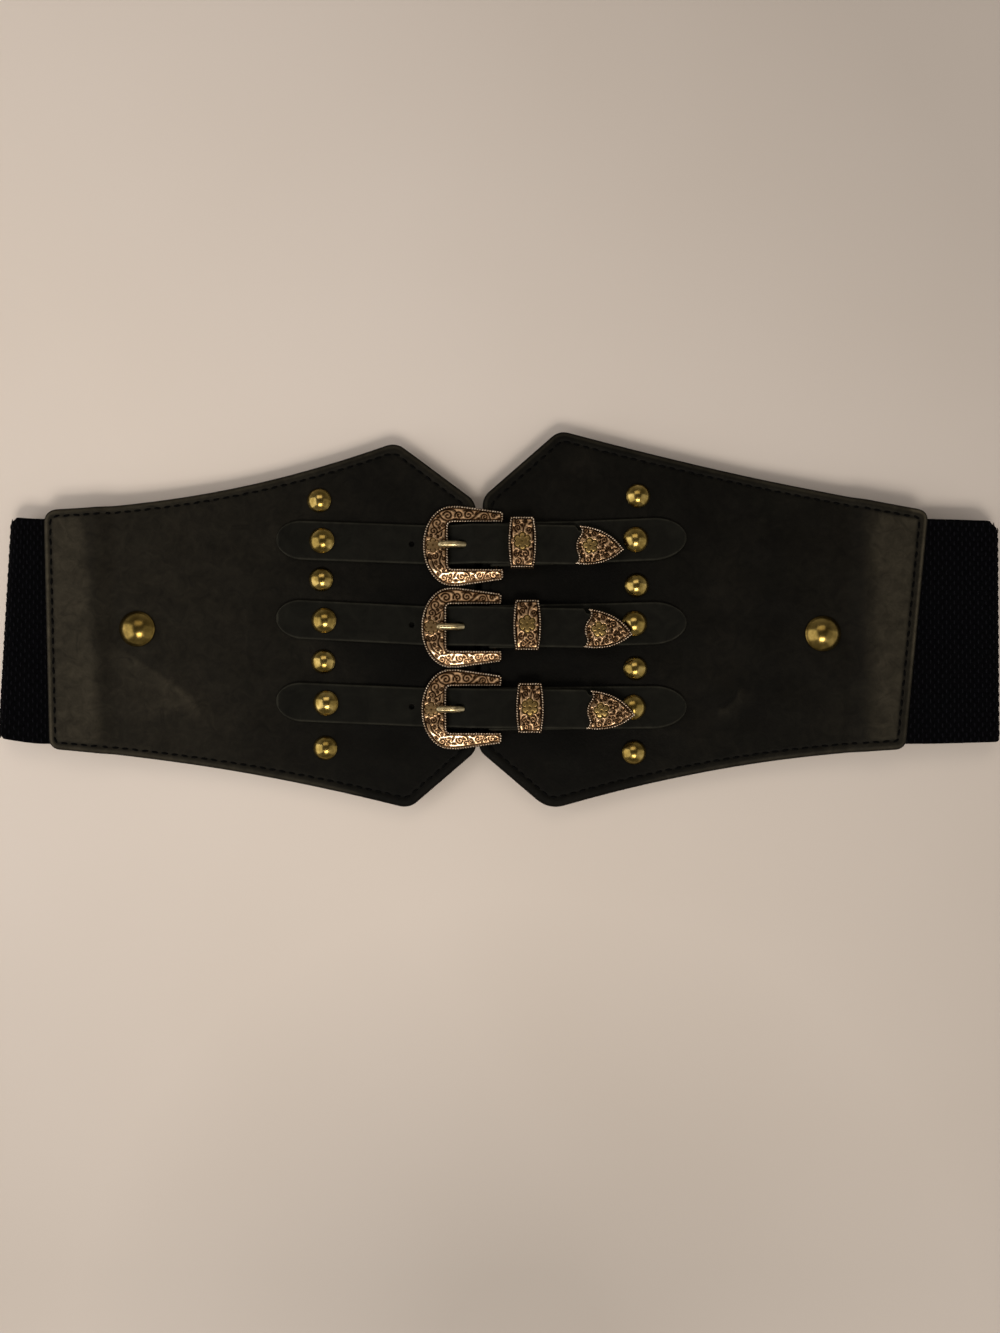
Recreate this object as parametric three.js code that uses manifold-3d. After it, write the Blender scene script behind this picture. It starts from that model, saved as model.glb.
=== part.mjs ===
// A corset belt that lies closed and flat. Two flared leather front panels meet at the centre, where three
// buckled straps join them, and one wide elastic band runs round the back from panel to panel.
// Lengths are millimetres. +X runs along the belt, +Y towards the wearer's chest, +Z up from the surface
// that the belt lies on. The origin is the middle of the elastic's underside.

import * as THREE from "three";
import { mergeVertices } from "three/addons/utils/BufferGeometryUtils.js";
import Module from "manifold-3d";

const wasm = await Module();
wasm.setup();

// Gaps between pieces
const lay = 0.25; // between pieces that lie on each other
const slide = 0.3; // round what passes through a hole
const strapSideGap = 0.6; // from a strap's edge to the buckle's arm
const buckleGap = 0.4; // between one buckle and the next

// Elastic band
const elasticWidth = 82;
const elasticThick = 1.6;
const elasticSewnIn = 18; // length held between the two layers of a panel
const foldNeck = 0.02; // share of its width that the band loses where it folds
const leftFold = { beyond: 16.2, slant: 0.058 }; // beyond the panel's end; slant is how far the fold leans
const rightFold = { beyond: 30.8, slant: -0.006 };

// Front panels: a face, and a backing under it
const panelHeight = 134; // from point to point, before the small differences between the corners
const leftPanelLength = 157.4;
const rightPanelLength = 159.2;
const leftCentreX = -8.4; // each panel's edge at the centre of the belt
const rightCentreX = -6;
const faceThick = 1.4;
const backingThick = 1;
const centreClear = 5; // free height inside the belt under the buckles
const endClear = 6.5; // free height inside the belt at its two ends
const flatReach = 86; // the panels are flat this far from the centre
const bulgeRamp = 4; // length over which the face climbs onto the elastic

// Straps
const shortStrapWidth = 15.6;
const longStrapWidth = shortStrapWidth - 1.3;
const strapThick = 1.2;
const longStrapReach = 81.3; // rounded end of the long straps, from the centre
const shortStrapReach = 68.5; // rounded end of the short straps
const longEndDepth = 9.5; // length of each strap's rounded end
const shortEndDepth = 12.5;
const turnedBack = 6; // how far the short strap's turned end runs on past the keeper
const strapStepDown = 5; // length over which the short strap drops from that end to the panel
const spareHole = { x: -31.8, radius: 1 };

// Buckle frames and prongs
const armWidth = 6.3;
const armTipWidth = 4;
const frameLength = 29.3;
const frameThick = 2;
const closedSideWidth = 9.25;
const frameRoundness = 10.5; // how far the round outer side reaches along the belt
const frameInnerEase = 1.6;
const barRadius = 0.9;
const barFromTips = 2.5;
const prongRadius = 1.2;
const prongEyeWall = 1.1;
const prongOnFrame = 3.9; // length of prong that lies on the frame

// Keepers, strap tips and studs
const keeperWidth = 10.1;
const keeperEndWidth = 8.4;
const keeperWall = 0.6;
const keeperOff = 0.35; // how far the keeper hangs to the upper side of its strap
const keeperThick = 0.8;
const keeperCrown = 0.5;
const tipLength = 16.8;
const tipHeight = 14.1;
const tipCover = 0.8;
const tongueWidth = 10.6; // the strap's narrowed end inside its metal tip
const tongueLength = 9;
const panelStud = { radius: 4.4, height: 2.6 };
const strapRivet = { radius: 4.6, height: 2.7 };
const largeStud = { radius: 6.5, height: 3.8 };
const postRadius = 1.1;
const reliefHeight = 0.35;
const rimWidth = 0.9;
const flowerRadius = 2.7;

// Fineness of curves
const cornerSteps = 3;
const bowSteps = 8;
const foldSteps = 12;
const studSides = 12;
const wireSides = 8;

// Sizes that follow from those above
const frameOpening = shortStrapWidth + 2 * strapSideGap;
const buckleHeight = frameOpening + 2 * armWidth;
const rowPitch = buckleHeight + buckleGap;
const rowCentreY = 1.4;
const frontZ = elasticThick + centreClear + backingThick + lay + faceThick;
const foldHeight = 2 * elasticThick + endClear + backingThick + lay;
const strapZ = frontZ + lay;
const barZ = strapZ + strapThick + lay + barRadius;
const frameZ = strapZ + strapThick + lay;
const shaftZ = frameZ + frameThick + reliefHeight + lay + prongRadius;
const loop = { inner: barRadius + lay, outer: barRadius + lay + strapThick };
const eyeRadius = barRadius + slide + prongEyeWall;
const atBar = { main: barZ + loop.inner, long: barZ + loop.outer + lay };
const atKeeper = { turned: strapZ + keeperThick + lay };
atKeeper.main = atKeeper.turned + strapThick + lay;
atKeeper.long = atKeeper.main + strapThick + lay;
atKeeper.roof = atKeeper.long + strapThick + lay;

// One row for each buckled strap. place counts rows up from the middle one. Shifts say how far off the
// buckle's middle each strap lies, and slopes are across over along.
// tipRise is how far the free end climbs after the keeper, as a share of the strap's thickness.
const rows = [
  { name: "top", place: 1, buckleX: -13, keeperX: 8.45, tipX: 28.5, shortShift: 0.15, longShift: 0.5,
    longSlope: -0.036, freeSlope: -0.007, shortSlope: 0.041, tipTurn: -6.4, tipRise: -1.2 },
  { name: "middle", place: 0, buckleX: -13.6, keeperX: 10.2, tipX: 31.5, shortShift: 0.2, longShift: 0.8,
    longSlope: -0.05, freeSlope: -0.019, shortSlope: 0.024, tipTurn: -7.8, tipRise: 0.35 },
  { name: "bottom", place: -1, buckleX: -13.6, keeperX: 11.2, tipX: 32.3, shortShift: 0.2, longShift: 0.8,
    longSlope: -0.042, freeSlope: -0.011, shortSlope: 0.01, tipTurn: -6.7, tipRise: 0.6 },
];

// Corners of the panels. along is a share of the panel's length from its centre edge, and across, ease and
// bow are shares of half the panel's height. bow is how far the edge after that corner bends inwards.
const panels = [
  { name: "left", side: -1, centreX: leftCentreX, length: leftPanelLength, fold: leftFold,
    corners: [
      { along: 0.998, across: 0.659, ease: 0.08, bow: 0.078 },
      { along: 0.187, across: 1.036, ease: 0.055, bow: 0 },
      { along: 0, across: 0.71, ease: 0.06, bow: 0 },
      { along: 0, across: -0.653, ease: 0.045, bow: 0 },
      { along: 0.156, across: -0.968, ease: 0.055, bow: 0.043 },
      { along: 0.985, across: -0.637, ease: 0.06, bow: 0 },
    ],
    studs: { x: -64.5, lean: -0.025, rivetShift: 0.8, places: [1.562, 0.592, -0.416, -1.477] },
    largeStud: { x: -131.8, y: 0.9 } },
  { name: "right", side: 1, centreX: rightCentreX, length: rightPanelLength, fold: rightFold,
    corners: [
      { along: 1.019, across: 0.654, ease: 0.06, bow: 0.023 },
      { along: 0.177, across: 1.101, ease: 0.055, bow: 0 },
      { along: 0.001, across: 0.736, ease: 0.05, bow: 0 },
      { along: -0.009, across: -0.647, ease: 0.045, bow: 0 },
      { along: 0.153, across: -0.976, ease: 0.09, bow: 0.06 },
      { along: 0.966, across: -0.639, ease: 0.055, bow: 0 },
    ],
    studs: { x: 50.1, lean: 0.016, rivetShift: -0.7, places: [1.617, 0.519, -0.5, -1.532] },
    largeStud: { x: 118.1, y: -0.8 } },
];

// Finishes
const faceLeather = new THREE.MeshStandardMaterial({ color: 0x26231e, roughness: 0.62, metalness: 0 });
const backingLeather = new THREE.MeshStandardMaterial({ color: 0x1b1a18, roughness: 0.8, metalness: 0 });
const strapLeather = new THREE.MeshStandardMaterial({ color: 0x20211f, roughness: 0.55, metalness: 0 });
const elasticWeave = new THREE.MeshStandardMaterial({ color: 0x08080b, roughness: 0.9, metalness: 0 });
const engravedGold = new THREE.MeshStandardMaterial({ color: 0xa98558, roughness: 0.35, metalness: 1 });
const prongGold = new THREE.MeshStandardMaterial({ color: 0xb79f66, roughness: 0.3, metalness: 1 });
const studBrass = new THREE.MeshStandardMaterial({ color: 0xa8842f, roughness: 0.22, metalness: 1 });

const point = (x, y) => new THREE.Vector2(x, y);
const smooth = (share) => {
  const t = Math.min(Math.max(share, 0), 1);
  return t * t * (3 - 2 * t);
};

// A closed geometry as a solid for joins and cuts.
function solid(geometry) {
  const bare = new THREE.BufferGeometry();
  bare.setAttribute("position", geometry.getAttribute("position"));
  if (geometry.index) bare.setIndex(geometry.index);
  const merged = mergeVertices(bare, 1e-4);
  return new wasm.Manifold(
    new wasm.Mesh({
      numProp: 3,
      vertProperties: new Float32Array(merged.getAttribute("position").array),
      triVerts: new Uint32Array(merged.index.array),
    }),
  );
}

// A solid as a named mesh.
function piece(name, shape, material) {
  const { numProp, vertProperties, triVerts } = shape.getMesh();
  const positions = new Float32Array((vertProperties.length / numProp) * 3);
  for (let i = 0; i < positions.length / 3; i++) {
    positions.set(vertProperties.subarray(i * numProp, i * numProp + 3), i * 3);
  }
  const geometry = new THREE.BufferGeometry();
  geometry.setAttribute("position", new THREE.BufferAttribute(positions, 3));
  geometry.setIndex(new THREE.BufferAttribute(new Uint32Array(triVerts), 1));
  const mesh = new THREE.Mesh(geometry, material);
  mesh.name = name;
  return mesh;
}

// An outline swept straight for a length, with its own axes sent to the two given directions.
function swept(outline, length, first, second, start, hole) {
  const shape = new THREE.Shape(outline);
  if (hole) shape.holes.push(new THREE.Path(hole));
  const geometry = new THREE.ExtrudeGeometry(shape, { depth: length, bevelEnabled: false });
  const third = new THREE.Vector3().crossVectors(first, second);
  geometry.applyMatrix4(new THREE.Matrix4().makeBasis(first, second, third));
  geometry.translate(start.x, start.y, start.z);
  return solid(geometry);
}

const axisX = new THREE.Vector3(1, 0, 0);
const axisY = new THREE.Vector3(0, 1, 0);
const axisZ = new THREE.Vector3(0, 0, 1);

// A plan outline as an upright prism, high enough to cut any layer of the belt.
const tall = 2 * (foldHeight + frontZ);
const prism = (outline, hole) =>
  swept(outline, 2 * tall, axisX, axisY, new THREE.Vector3(0, 0, -tall), hole);

// A side outline, along and up, carried across the whole belt.
const slab = (outline) =>
  swept(outline, 2 * panelHeight, axisX, axisZ, new THREE.Vector3(0, panelHeight, 0));

// Points along an open line through its knots, each inner knot eased over a length to either side.
function easedLine(knots, ease) {
  const points = [knots[0]];
  for (let i = 1; i < knots.length - 1; i++) {
    const before = knots[i - 1].clone().sub(knots[i]);
    const after = knots[i + 1].clone().sub(knots[i]);
    const reach = Math.min(ease, before.length() / 2, after.length() / 2);
    const from = knots[i].clone().addScaledVector(before.normalize(), reach);
    const to = knots[i].clone().addScaledVector(after.normalize(), reach);
    points.push(...new THREE.QuadraticBezierCurve(from, knots[i], to).getPoints(cornerSteps));
  }
  points.push(knots.at(-1));
  return points;
}

// A closed outline through corners, with each corner eased and each edge bowed towards the line y = 0.
function easedOutline(corners) {
  const count = corners.length;
  const edges = corners.map((corner, i) => {
    const next = corners[(i + 1) % count];
    const middle = corner.at.clone().lerp(next.at, 0.5);
    middle.y -= Math.sign(middle.y) * 2 * corner.bow;
    return new THREE.QuadraticBezierCurve(corner.at, middle, next.at);
  });
  const points = [];
  edges.forEach((edge, i) => {
    const corner = corners[(i + 1) % count];
    const following = edges[(i + 1) % count];
    const start = corners[i].ease / edge.getLength();
    const end = 1 - corner.ease / edge.getLength();
    const steps = corners[i].bow > 0 ? bowSteps : 1;
    for (let k = 0; k <= steps; k++) points.push(edge.getPoint(start + ((end - start) * k) / steps));
    const turn = new THREE.QuadraticBezierCurve(
      points.at(-1),
      corner.at,
      following.getPoint(corner.ease / following.getLength()),
    );
    points.push(...turn.getPoints(cornerSteps).slice(1, -1));
  });
  return points;
}

// The outline moved inwards by a distance.
function inset(outline, distance) {
  const flat = new wasm.CrossSection([outline.map((p) => [p.x, p.y])], "EvenOdd");
  return flat.offset(-distance, "Miter").toPolygons()[0].map(([x, y]) => point(x, y));
}

const turned = (outline, degrees, at) =>
  outline.map((p) => p.clone().rotateAround(point(0, 0), THREE.MathUtils.degToRad(degrees)).add(at));

// The band between an outline and the same outline moved inwards, as an upright prism.
const border = (outline) => prism(outline, inset(outline, rimWidth));

function circle(centre, radius, sides) {
  return Array.from({ length: sides }, (_, i) => {
    const angle = (2 * Math.PI * i) / sides;
    return point(centre.x + radius * Math.cos(angle), centre.y + radius * Math.sin(angle));
  });
}

// A raised flower: round petals about a round middle.
function flower(centre, radius) {
  const petals = 6;
  const parts = [prism(circle(centre, radius * 0.3, wireSides))];
  for (let i = 0; i < petals; i++) {
    const angle = (2 * Math.PI * i) / petals;
    const at = point(centre.x + radius * 0.62 * Math.cos(angle), centre.y + radius * 0.62 * Math.sin(angle));
    parts.push(prism(circle(at, radius * 0.36, petals)));
  }
  return wasm.Manifold.union(parts);
}

// Height of the backing's underside at a distance from the centre.
function backingUnder(panel, x) {
  const riseEnd = panel.outerX - elasticSewnIn - bulgeRamp - slide;
  const rise = smooth((Math.abs(x) - flatReach) / (riseEnd - flatReach));
  return elasticThick + centreClear + (endClear - centreClear) * rise;
}

// Height of the face's underside: on the backing, and over the elastic's sewn end further out.
function faceUnder(panel, x) {
  const rampStart = panel.outerX - elasticSewnIn - bulgeRamp - slide;
  const bulge = smooth((Math.abs(x) - rampStart) / bulgeRamp);
  return backingUnder(panel, x) + backingThick + lay + bulge * (elasticThick + lay);
}

// The side outline of one layer of a panel.
function layerSide(panel, under, thick) {
  const riseSteps = 6;
  const rampStart = panel.outerX - elasticSewnIn - bulgeRamp - slide;
  const reaches = [-flatReach / 4];
  for (let i = 0; i <= riseSteps; i++) reaches.push(flatReach + ((rampStart - flatReach) * i) / riseSteps);
  for (let i = 1; i <= cornerSteps; i++) reaches.push(rampStart + (bulgeRamp * i) / cornerSteps);
  reaches.push(panel.outerX + elasticSewnIn);
  const low = reaches.map((reach) => point(panel.side * reach, under(panel, Math.max(reach, 0))));
  const high = low.map((p) => point(p.x, p.y + thick)).reverse();
  return slab([...low, ...high]);
}

function panelOutline(panel) {
  const half = panelHeight / 2;
  return easedOutline(
    panel.corners.map(({ along, across, ease, bow }) => ({
      at: point(panel.centreX + panel.side * along * panel.length, across * half),
      ease: ease * half,
      bow: bow * half,
    })),
  );
}

// The elastic band: one strip from inside the left panel, round the left fold, along the surface, round the
// right fold and back into the right panel.
function elasticBand() {
  const foldRadius = foldHeight / 2;
  const [left, right] = panels;
  const runs = (depth) => {
    const points = [];
    for (const panel of [left, right]) {
      const { side, outerX } = panel;
      const foldX = outerX + panel.fold.beyond - foldRadius;
      const top = foldHeight - depth;
      const half = [point(side * (outerX - elasticSewnIn), top), point(side * outerX, top)];
      for (let i = 0; i <= foldSteps; i++) {
        const angle = Math.PI / 2 - (Math.PI * i) / foldSteps;
        const reach = foldRadius - depth;
        half.push(point(side * (foldX + reach * Math.cos(angle)), foldRadius + reach * Math.sin(angle)));
      }
      half.push(point(side * outerX, depth));
      points.push(...(side < 0 ? half : half.reverse()));
    }
    return points;
  };
  const outline = [...runs(0), ...runs(elasticThick).reverse()];
  const start = new THREE.Vector3(0, elasticWidth / 2, 0);
  const band = swept(outline, elasticWidth, axisX, axisZ, start);
  return band.warp((v) => {
    const panel = v[0] < 0 ? left : right;
    const share = smooth((Math.abs(v[0]) - panel.outerX) / panel.fold.beyond);
    v[0] += panel.fold.slant * v[1] * share;
    v[1] *= 1 - foldNeck * share;
  });
}

// A dome on a post, at a height and tipped with the surface under it.
function stud({ radius, height }, { x, y, z }, postLength, tip = 0) {
  const sphere = (radius * radius + height * height) / (2 * height);
  const profile = [
    point(0, -postLength), point(postRadius, -postLength), point(postRadius, 0), point(radius, 0),
  ];
  const domeSteps = 3;
  for (let i = 0; i <= domeSteps; i++) {
    const reach = radius * Math.cos((Math.PI / 2) * (i / domeSteps)) * (i === 0 ? 0.985 : 1);
    const rise = Math.sqrt(Math.max(sphere * sphere - reach * reach, 0)) - (sphere - height);
    profile.push(point(i === domeSteps ? 0 : reach, Math.max(rise, height * 0.12)));
  }
  const geometry = new THREE.LatheGeometry(profile, studSides);
  geometry.rotateX(Math.PI / 2);
  geometry.rotateY(tip);
  geometry.translate(x, y, z);
  return solid(geometry);
}

// The round hole that a post or pin needs.
const hole = (x, y, radius) => prism(circle(point(x, y), radius, wireSides));

// One buckled row, worked out from the table.
function rowLayout(row) {
  const y = rowCentreY + row.place * rowPitch;
  const tips = row.buckleX + frameLength / 2;
  const barX = tips - barFromTips;
  const closedX = row.buckleX - frameLength / 2;
  const passage = keeperWidth / 2 + slide;
  const keeper = { left: row.keeperX - passage, right: row.keeperX + passage };
  const turnedEnd = keeper.right + turnedBack;
  const middleY = y + row.shortShift;
  const longY = (x) => y + row.longShift + (x < closedX ? row.longSlope : row.freeSlope) * (x - closedX);
  const shortY = (x) => middleY + row.shortSlope * (x - barX);
  const tipAt = point(row.tipX, longY(row.tipX));
  const innerX = closedX + closedSideWidth;
  return { ...row, y, middleY, tips, barX, closedX, innerX, keeper, turnedEnd, longY, shortY, tipAt };
}

// Side outline of a strap: its underside, and the same line lifted by its thickness.
const strapSide = (under) => [...under, ...under.map((p) => point(p.x, p.y + strapThick)).reverse()];

function longStrapUnder(row) {
  const foot = row.innerX - slide;
  const crest = foot + (row.barX - foot) * 0.52;
  const tipZ = atKeeper.long + row.tipRise * strapThick;
  return easedLine(
    [
      point(-longStrapReach - lay, strapZ),
      point(foot, strapZ),
      point(crest, atBar.long),
      point(row.barX + barRadius, atBar.long),
      point(row.keeper.left, atKeeper.long),
      point(row.keeper.right, atKeeper.long),
      point(row.tipX, tipZ),
      point(row.tipX + 2 * tipLength, tipZ),
    ],
    1.2,
  );
}

// Plan of the strap's narrowed end inside the metal tip, in the tip's own axes.
const tongue = (extra) => {
  const half = tongueWidth / 2 + extra;
  const reach = tongueLength + extra;
  return [
    point(-2, -half), point(reach * 0.5, -half), point(reach, -half * 0.45),
    point(reach, half * 0.45), point(reach * 0.5, half), point(-2, half),
  ];
};

function longStrap(row, shaft) {
  const half = longStrapWidth / 2;
  const endX = -longStrapReach;
  const outline = [];
  const steps = 8;
  for (let i = 0; i <= steps; i++) {
    const angle = Math.PI / 2 + (Math.PI * i) / steps;
    const x = endX + longEndDepth * (1 + Math.cos(angle));
    outline.push(point(x, row.longY(x) + half * Math.sin(angle)));
  }
  outline.push(point(row.closedX, row.longY(row.closedX) - half));
  const shoulder = [
    point(-1.8, -half), point(-0.9, -half + 0.9), point(-0.9, half - 0.9), point(-1.8, half),
  ];
  outline.push(...turned(shoulder, row.tipTurn, row.tipAt));
  outline.push(point(row.closedX, row.longY(row.closedX) + half));
  return slab(strapSide(longStrapUnder(row)))
    .intersect(prism(outline).add(prism(turned(tongue(0), row.tipTurn, row.tipAt))))
    .subtract(shaft)
    .subtract(hole(spareHole.x, row.longY(spareHole.x), spareHole.radius))
    .subtract(hole(row.rivet.left.x, row.rivet.left.y, postRadius + slide));
}

// The short strap comes from the right panel, passes over the bar, turns round it and runs back underneath.
function shortStrap(row) {
  const { barX, keeper, turnedEnd } = row;
  const onTurned = strapZ + strapThick + lay;
  const main = easedLine(
    [
      point(barX, atBar.main),
      point(keeper.left, atKeeper.main),
      point(keeper.right, atKeeper.main),
      point(keeper.right + turnedBack / 2, onTurned),
      point(turnedEnd + slide, onTurned),
      point(turnedEnd + slide + strapStepDown, strapZ),
      point(shortStrapReach + lay, strapZ),
    ],
    1.2,
  );
  const under = easedLine(
    [
      point(barX, strapZ),
      point(keeper.left, atKeeper.turned),
      point(keeper.right, atKeeper.turned),
      point(keeper.right + turnedBack / 2, strapZ),
      point(turnedEnd, strapZ),
    ],
    1.2,
  );
  const lift = (line) => line.map((p) => point(p.x, p.y + strapThick));
  const arc = (radius, from, to) =>
    Array.from({ length: wireSides - 1 }, (_, i) => {
      const angle = from + ((to - from) * (i + 1)) / wireSides;
      return point(barX + radius * Math.cos(angle), barZ + radius * Math.sin(angle));
    });
  const side = [
    ...main,
    ...lift(main).reverse(),
    ...arc(loop.outer, Math.PI / 2, (3 * Math.PI) / 2),
    ...under,
    ...lift(under).reverse(),
    ...arc(loop.inner, (3 * Math.PI) / 2, Math.PI / 2),
  ];
  const half = shortStrapWidth / 2;
  const outline = [];
  const steps = 8;
  for (let i = 0; i <= steps; i++) {
    const angle = -Math.PI / 2 + (Math.PI * i) / steps;
    const x = shortStrapReach - shortEndDepth * (1 - Math.cos(angle));
    outline.push(point(x, row.shortY(x) + half * Math.sin(angle)));
  }
  const startX = barX - 2 * loop.outer;
  outline.push(point(barX, row.middleY + half), point(startX, row.middleY + half));
  outline.push(point(startX, row.middleY - half), point(barX, row.middleY - half));
  const slot = prongRadius + 2 * slide;
  const slotEnd = barX + eyeRadius + slide;
  const prongSlot = [
    point(startX, row.middleY - slot), point(slotEnd, row.middleY - slot),
    point(slotEnd, row.middleY + slot), point(startX, row.middleY + slot),
  ];
  return slab(side)
    .intersect(prism(outline))
    .subtract(prism(prongSlot))
    .subtract(hole(row.rivet.right.x, row.rivet.right.y, postRadius + slide));
}

// The buckle frame: a C that is closed and round on the left, with the bar between its two arms.
function frameOutline(row) {
  const half = buckleHeight / 2;
  const open = frameOpening / 2;
  const roundX = row.closedX + frameRoundness;
  const outline = [];
  const steps = 12;
  for (let i = 0; i <= steps; i++) {
    const angle = Math.PI / 2 + (Math.PI * i) / steps;
    outline.push(point(roundX + frameRoundness * Math.cos(angle), row.y + half * Math.sin(angle)));
  }
  const corner = (y) => {
    const sign = Math.sign(y);
    const from = point(row.innerX + frameInnerEase, row.y + y);
    const to = point(row.innerX, row.y + y - sign * frameInnerEase);
    return new THREE.QuadraticBezierCurve(from, point(row.innerX, row.y + y), to).getPoints(cornerSteps);
  };
  outline.push(point(roundX + frameRoundness * 0.25, row.y - half));
  outline.push(point(row.tips, row.y - open - armTipWidth), point(row.tips, row.y - open));
  outline.push(...corner(-open), ...corner(open).reverse());
  outline.push(point(row.tips, row.y + open), point(row.tips, row.y + open + armTipWidth));
  outline.push(point(roundX + frameRoundness * 0.25, row.y + half));
  return outline;
}

function buckleFrame(row) {
  const outline = frameOutline(row);
  const layer = (height) =>
    slab([
      point(row.closedX - 1, frameZ), point(row.tips + 1, frameZ),
      point(row.tips + 1, frameZ + height), point(row.closedX - 1, frameZ + height),
    ]);
  const middleX = row.closedX + closedSideWidth * 0.45;
  const relief = border(outline).add(flower(point(middleX, row.y), flowerRadius));
  const barLength = frameOpening + armWidth;
  const bar = swept(
    circle(point(row.barX, barZ), barRadius, wireSides), barLength, axisX, axisZ,
    new THREE.Vector3(0, row.y + barLength / 2, 0),
  );
  return layer(frameThick)
    .intersect(prism(outline))
    .add(layer(frameThick + reliefHeight).intersect(prism(outline)).intersect(relief))
    .add(bar);
}

// The prong's shaft, from the bar up through the long strap's hole and onto the frame's closed side.
function prongShaft(row, radius) {
  const path = new THREE.CatmullRomCurve3([
    new THREE.Vector3(row.barX - barRadius - slide - prongEyeWall / 2, row.middleY, barZ),
    new THREE.Vector3((row.barX + row.innerX) / 2, row.middleY, (barZ + shaftZ) / 2),
    new THREE.Vector3(row.innerX, row.middleY, shaftZ),
    new THREE.Vector3(row.innerX - prongOnFrame, row.middleY, shaftZ),
  ]);
  const section = new THREE.Shape(circle(point(0, 0), radius, wireSides));
  return solid(new THREE.ExtrudeGeometry(section, { steps: 8, bevelEnabled: false, extrudePath: path }));
}

function prong(row) {
  const width = 2 * prongRadius;
  const start = new THREE.Vector3(0, row.middleY + prongRadius, 0);
  const ring = (radius, sides) =>
    swept(circle(point(row.barX, barZ), radius, sides), width, axisX, axisZ, start);
  return ring(eyeRadius, studSides)
    .add(prongShaft(row, prongRadius))
    .subtract(ring(barRadius + slide, wireSides));
}

// The keeper: a low metal loop round both straps, with a crowned top and barrel-shaped sides.
function keeper(row) {
  const half = shortStrapWidth / 2 + (row.shortSlope * keeperWidth) / 2 + lay + keeperWall + keeperOff;
  const centreY = row.shortY(row.keeperX) + keeperOff;
  const top = atKeeper.roof + keeperThick;
  const section = (raise) => {
    const crown = [];
    const steps = 4;
    for (let i = 0; i <= steps; i++) {
      const across = 1 - (2 * i) / steps;
      crown.push(point(half * across, top + raise + keeperCrown * (1 - across * across)));
    }
    return [point(-half, strapZ), point(half, strapZ), ...crown];
  };
  const start = new THREE.Vector3(row.keeperX - keeperWidth / 2, centreY, 0);
  const innerHalf = half - keeperWall;
  const floor = strapZ + keeperThick;
  const window = [
    point(-innerHalf, floor), point(innerHalf, floor),
    point(innerHalf, atKeeper.roof), point(-innerHalf, atKeeper.roof),
  ];
  const block = (raise) => swept(section(raise), keeperWidth, axisY, axisZ, start, window);
  const outline = [];
  const steps = 4;
  for (const side of [1, -1]) {
    for (let i = 0; i <= steps; i++) {
      const across = side * (-1 + (2 * i) / steps);
      const reach = (keeperEndWidth + (keeperWidth - keeperEndWidth) * (1 - across * across)) / 2;
      outline.push(point(row.keeperX + side * reach, centreY + half * across));
    }
  }
  const relief = border(outline).add(flower(point(row.keeperX, centreY), flowerRadius));
  return block(0).add(block(reliefHeight).intersect(relief)).intersect(prism(outline));
}

// The metal tip: a shield with a point, hollow underneath for the strap's narrowed end.
function strapTip(row) {
  const half = tipHeight / 2;
  const flank = new THREE.CubicBezierCurve(
    point(0, half), point(tipLength * 0.44, half * 1.03),
    point(tipLength * 0.74, half * 0.62), point(tipLength, 0),
  ).getPoints(8);
  const bracket = [
    { across: 0.66, along: 0.9 }, { across: 0.3, along: -0.3 }, { across: 0, along: -0.7 },
    { across: -0.3, along: -0.3 }, { across: -0.66, along: 0.9 },
  ].map(({ across, along }) => point(along, across * half));
  const shield = [
    ...bracket,
    ...flank.map((p) => point(p.x, -p.y)),
    ...flank.slice(0, -1).reverse(),
  ];
  const outline = turned(shield, row.tipTurn, row.tipAt);
  const under = longStrapUnder(row).filter((p) => p.x > row.keeper.right);
  const layer = (low, high) =>
    slab([
      ...under.map((p) => point(p.x, p.y + low)),
      ...under.map((p) => point(p.x, p.y + high)).reverse(),
    ]);
  const hollow = strapThick + lay;
  const cover = hollow + tipCover;
  const [bloom] = turned([point(tipLength * 0.3, 0)], row.tipTurn, row.tipAt);
  const relief = border(outline).add(flower(bloom, flowerRadius));
  return layer(0, cover)
    .add(layer(tipCover, cover + reliefHeight).intersect(relief))
    .intersect(prism(outline))
    .subtract(layer(-tipCover, hollow).intersect(prism(turned(tongue(slide), row.tipTurn, row.tipAt))));
}

const belt = new THREE.Group();
const add = (name, shape, material) => belt.add(piece(name, shape, material));

for (const panel of panels) panel.outerX = Math.abs(panel.centreX + panel.side * panel.length);
const layouts = rows.map(rowLayout);
for (const row of layouts) {
  const [left, right] = panels.map(({ studs }) => studs.x + studs.lean * row.y + studs.rivetShift);
  row.rivet = { left: { x: left, y: row.longY(left) }, right: { x: right, y: row.shortY(right) } };
}

add("elastic_band", elasticBand(), elasticWeave);

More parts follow.
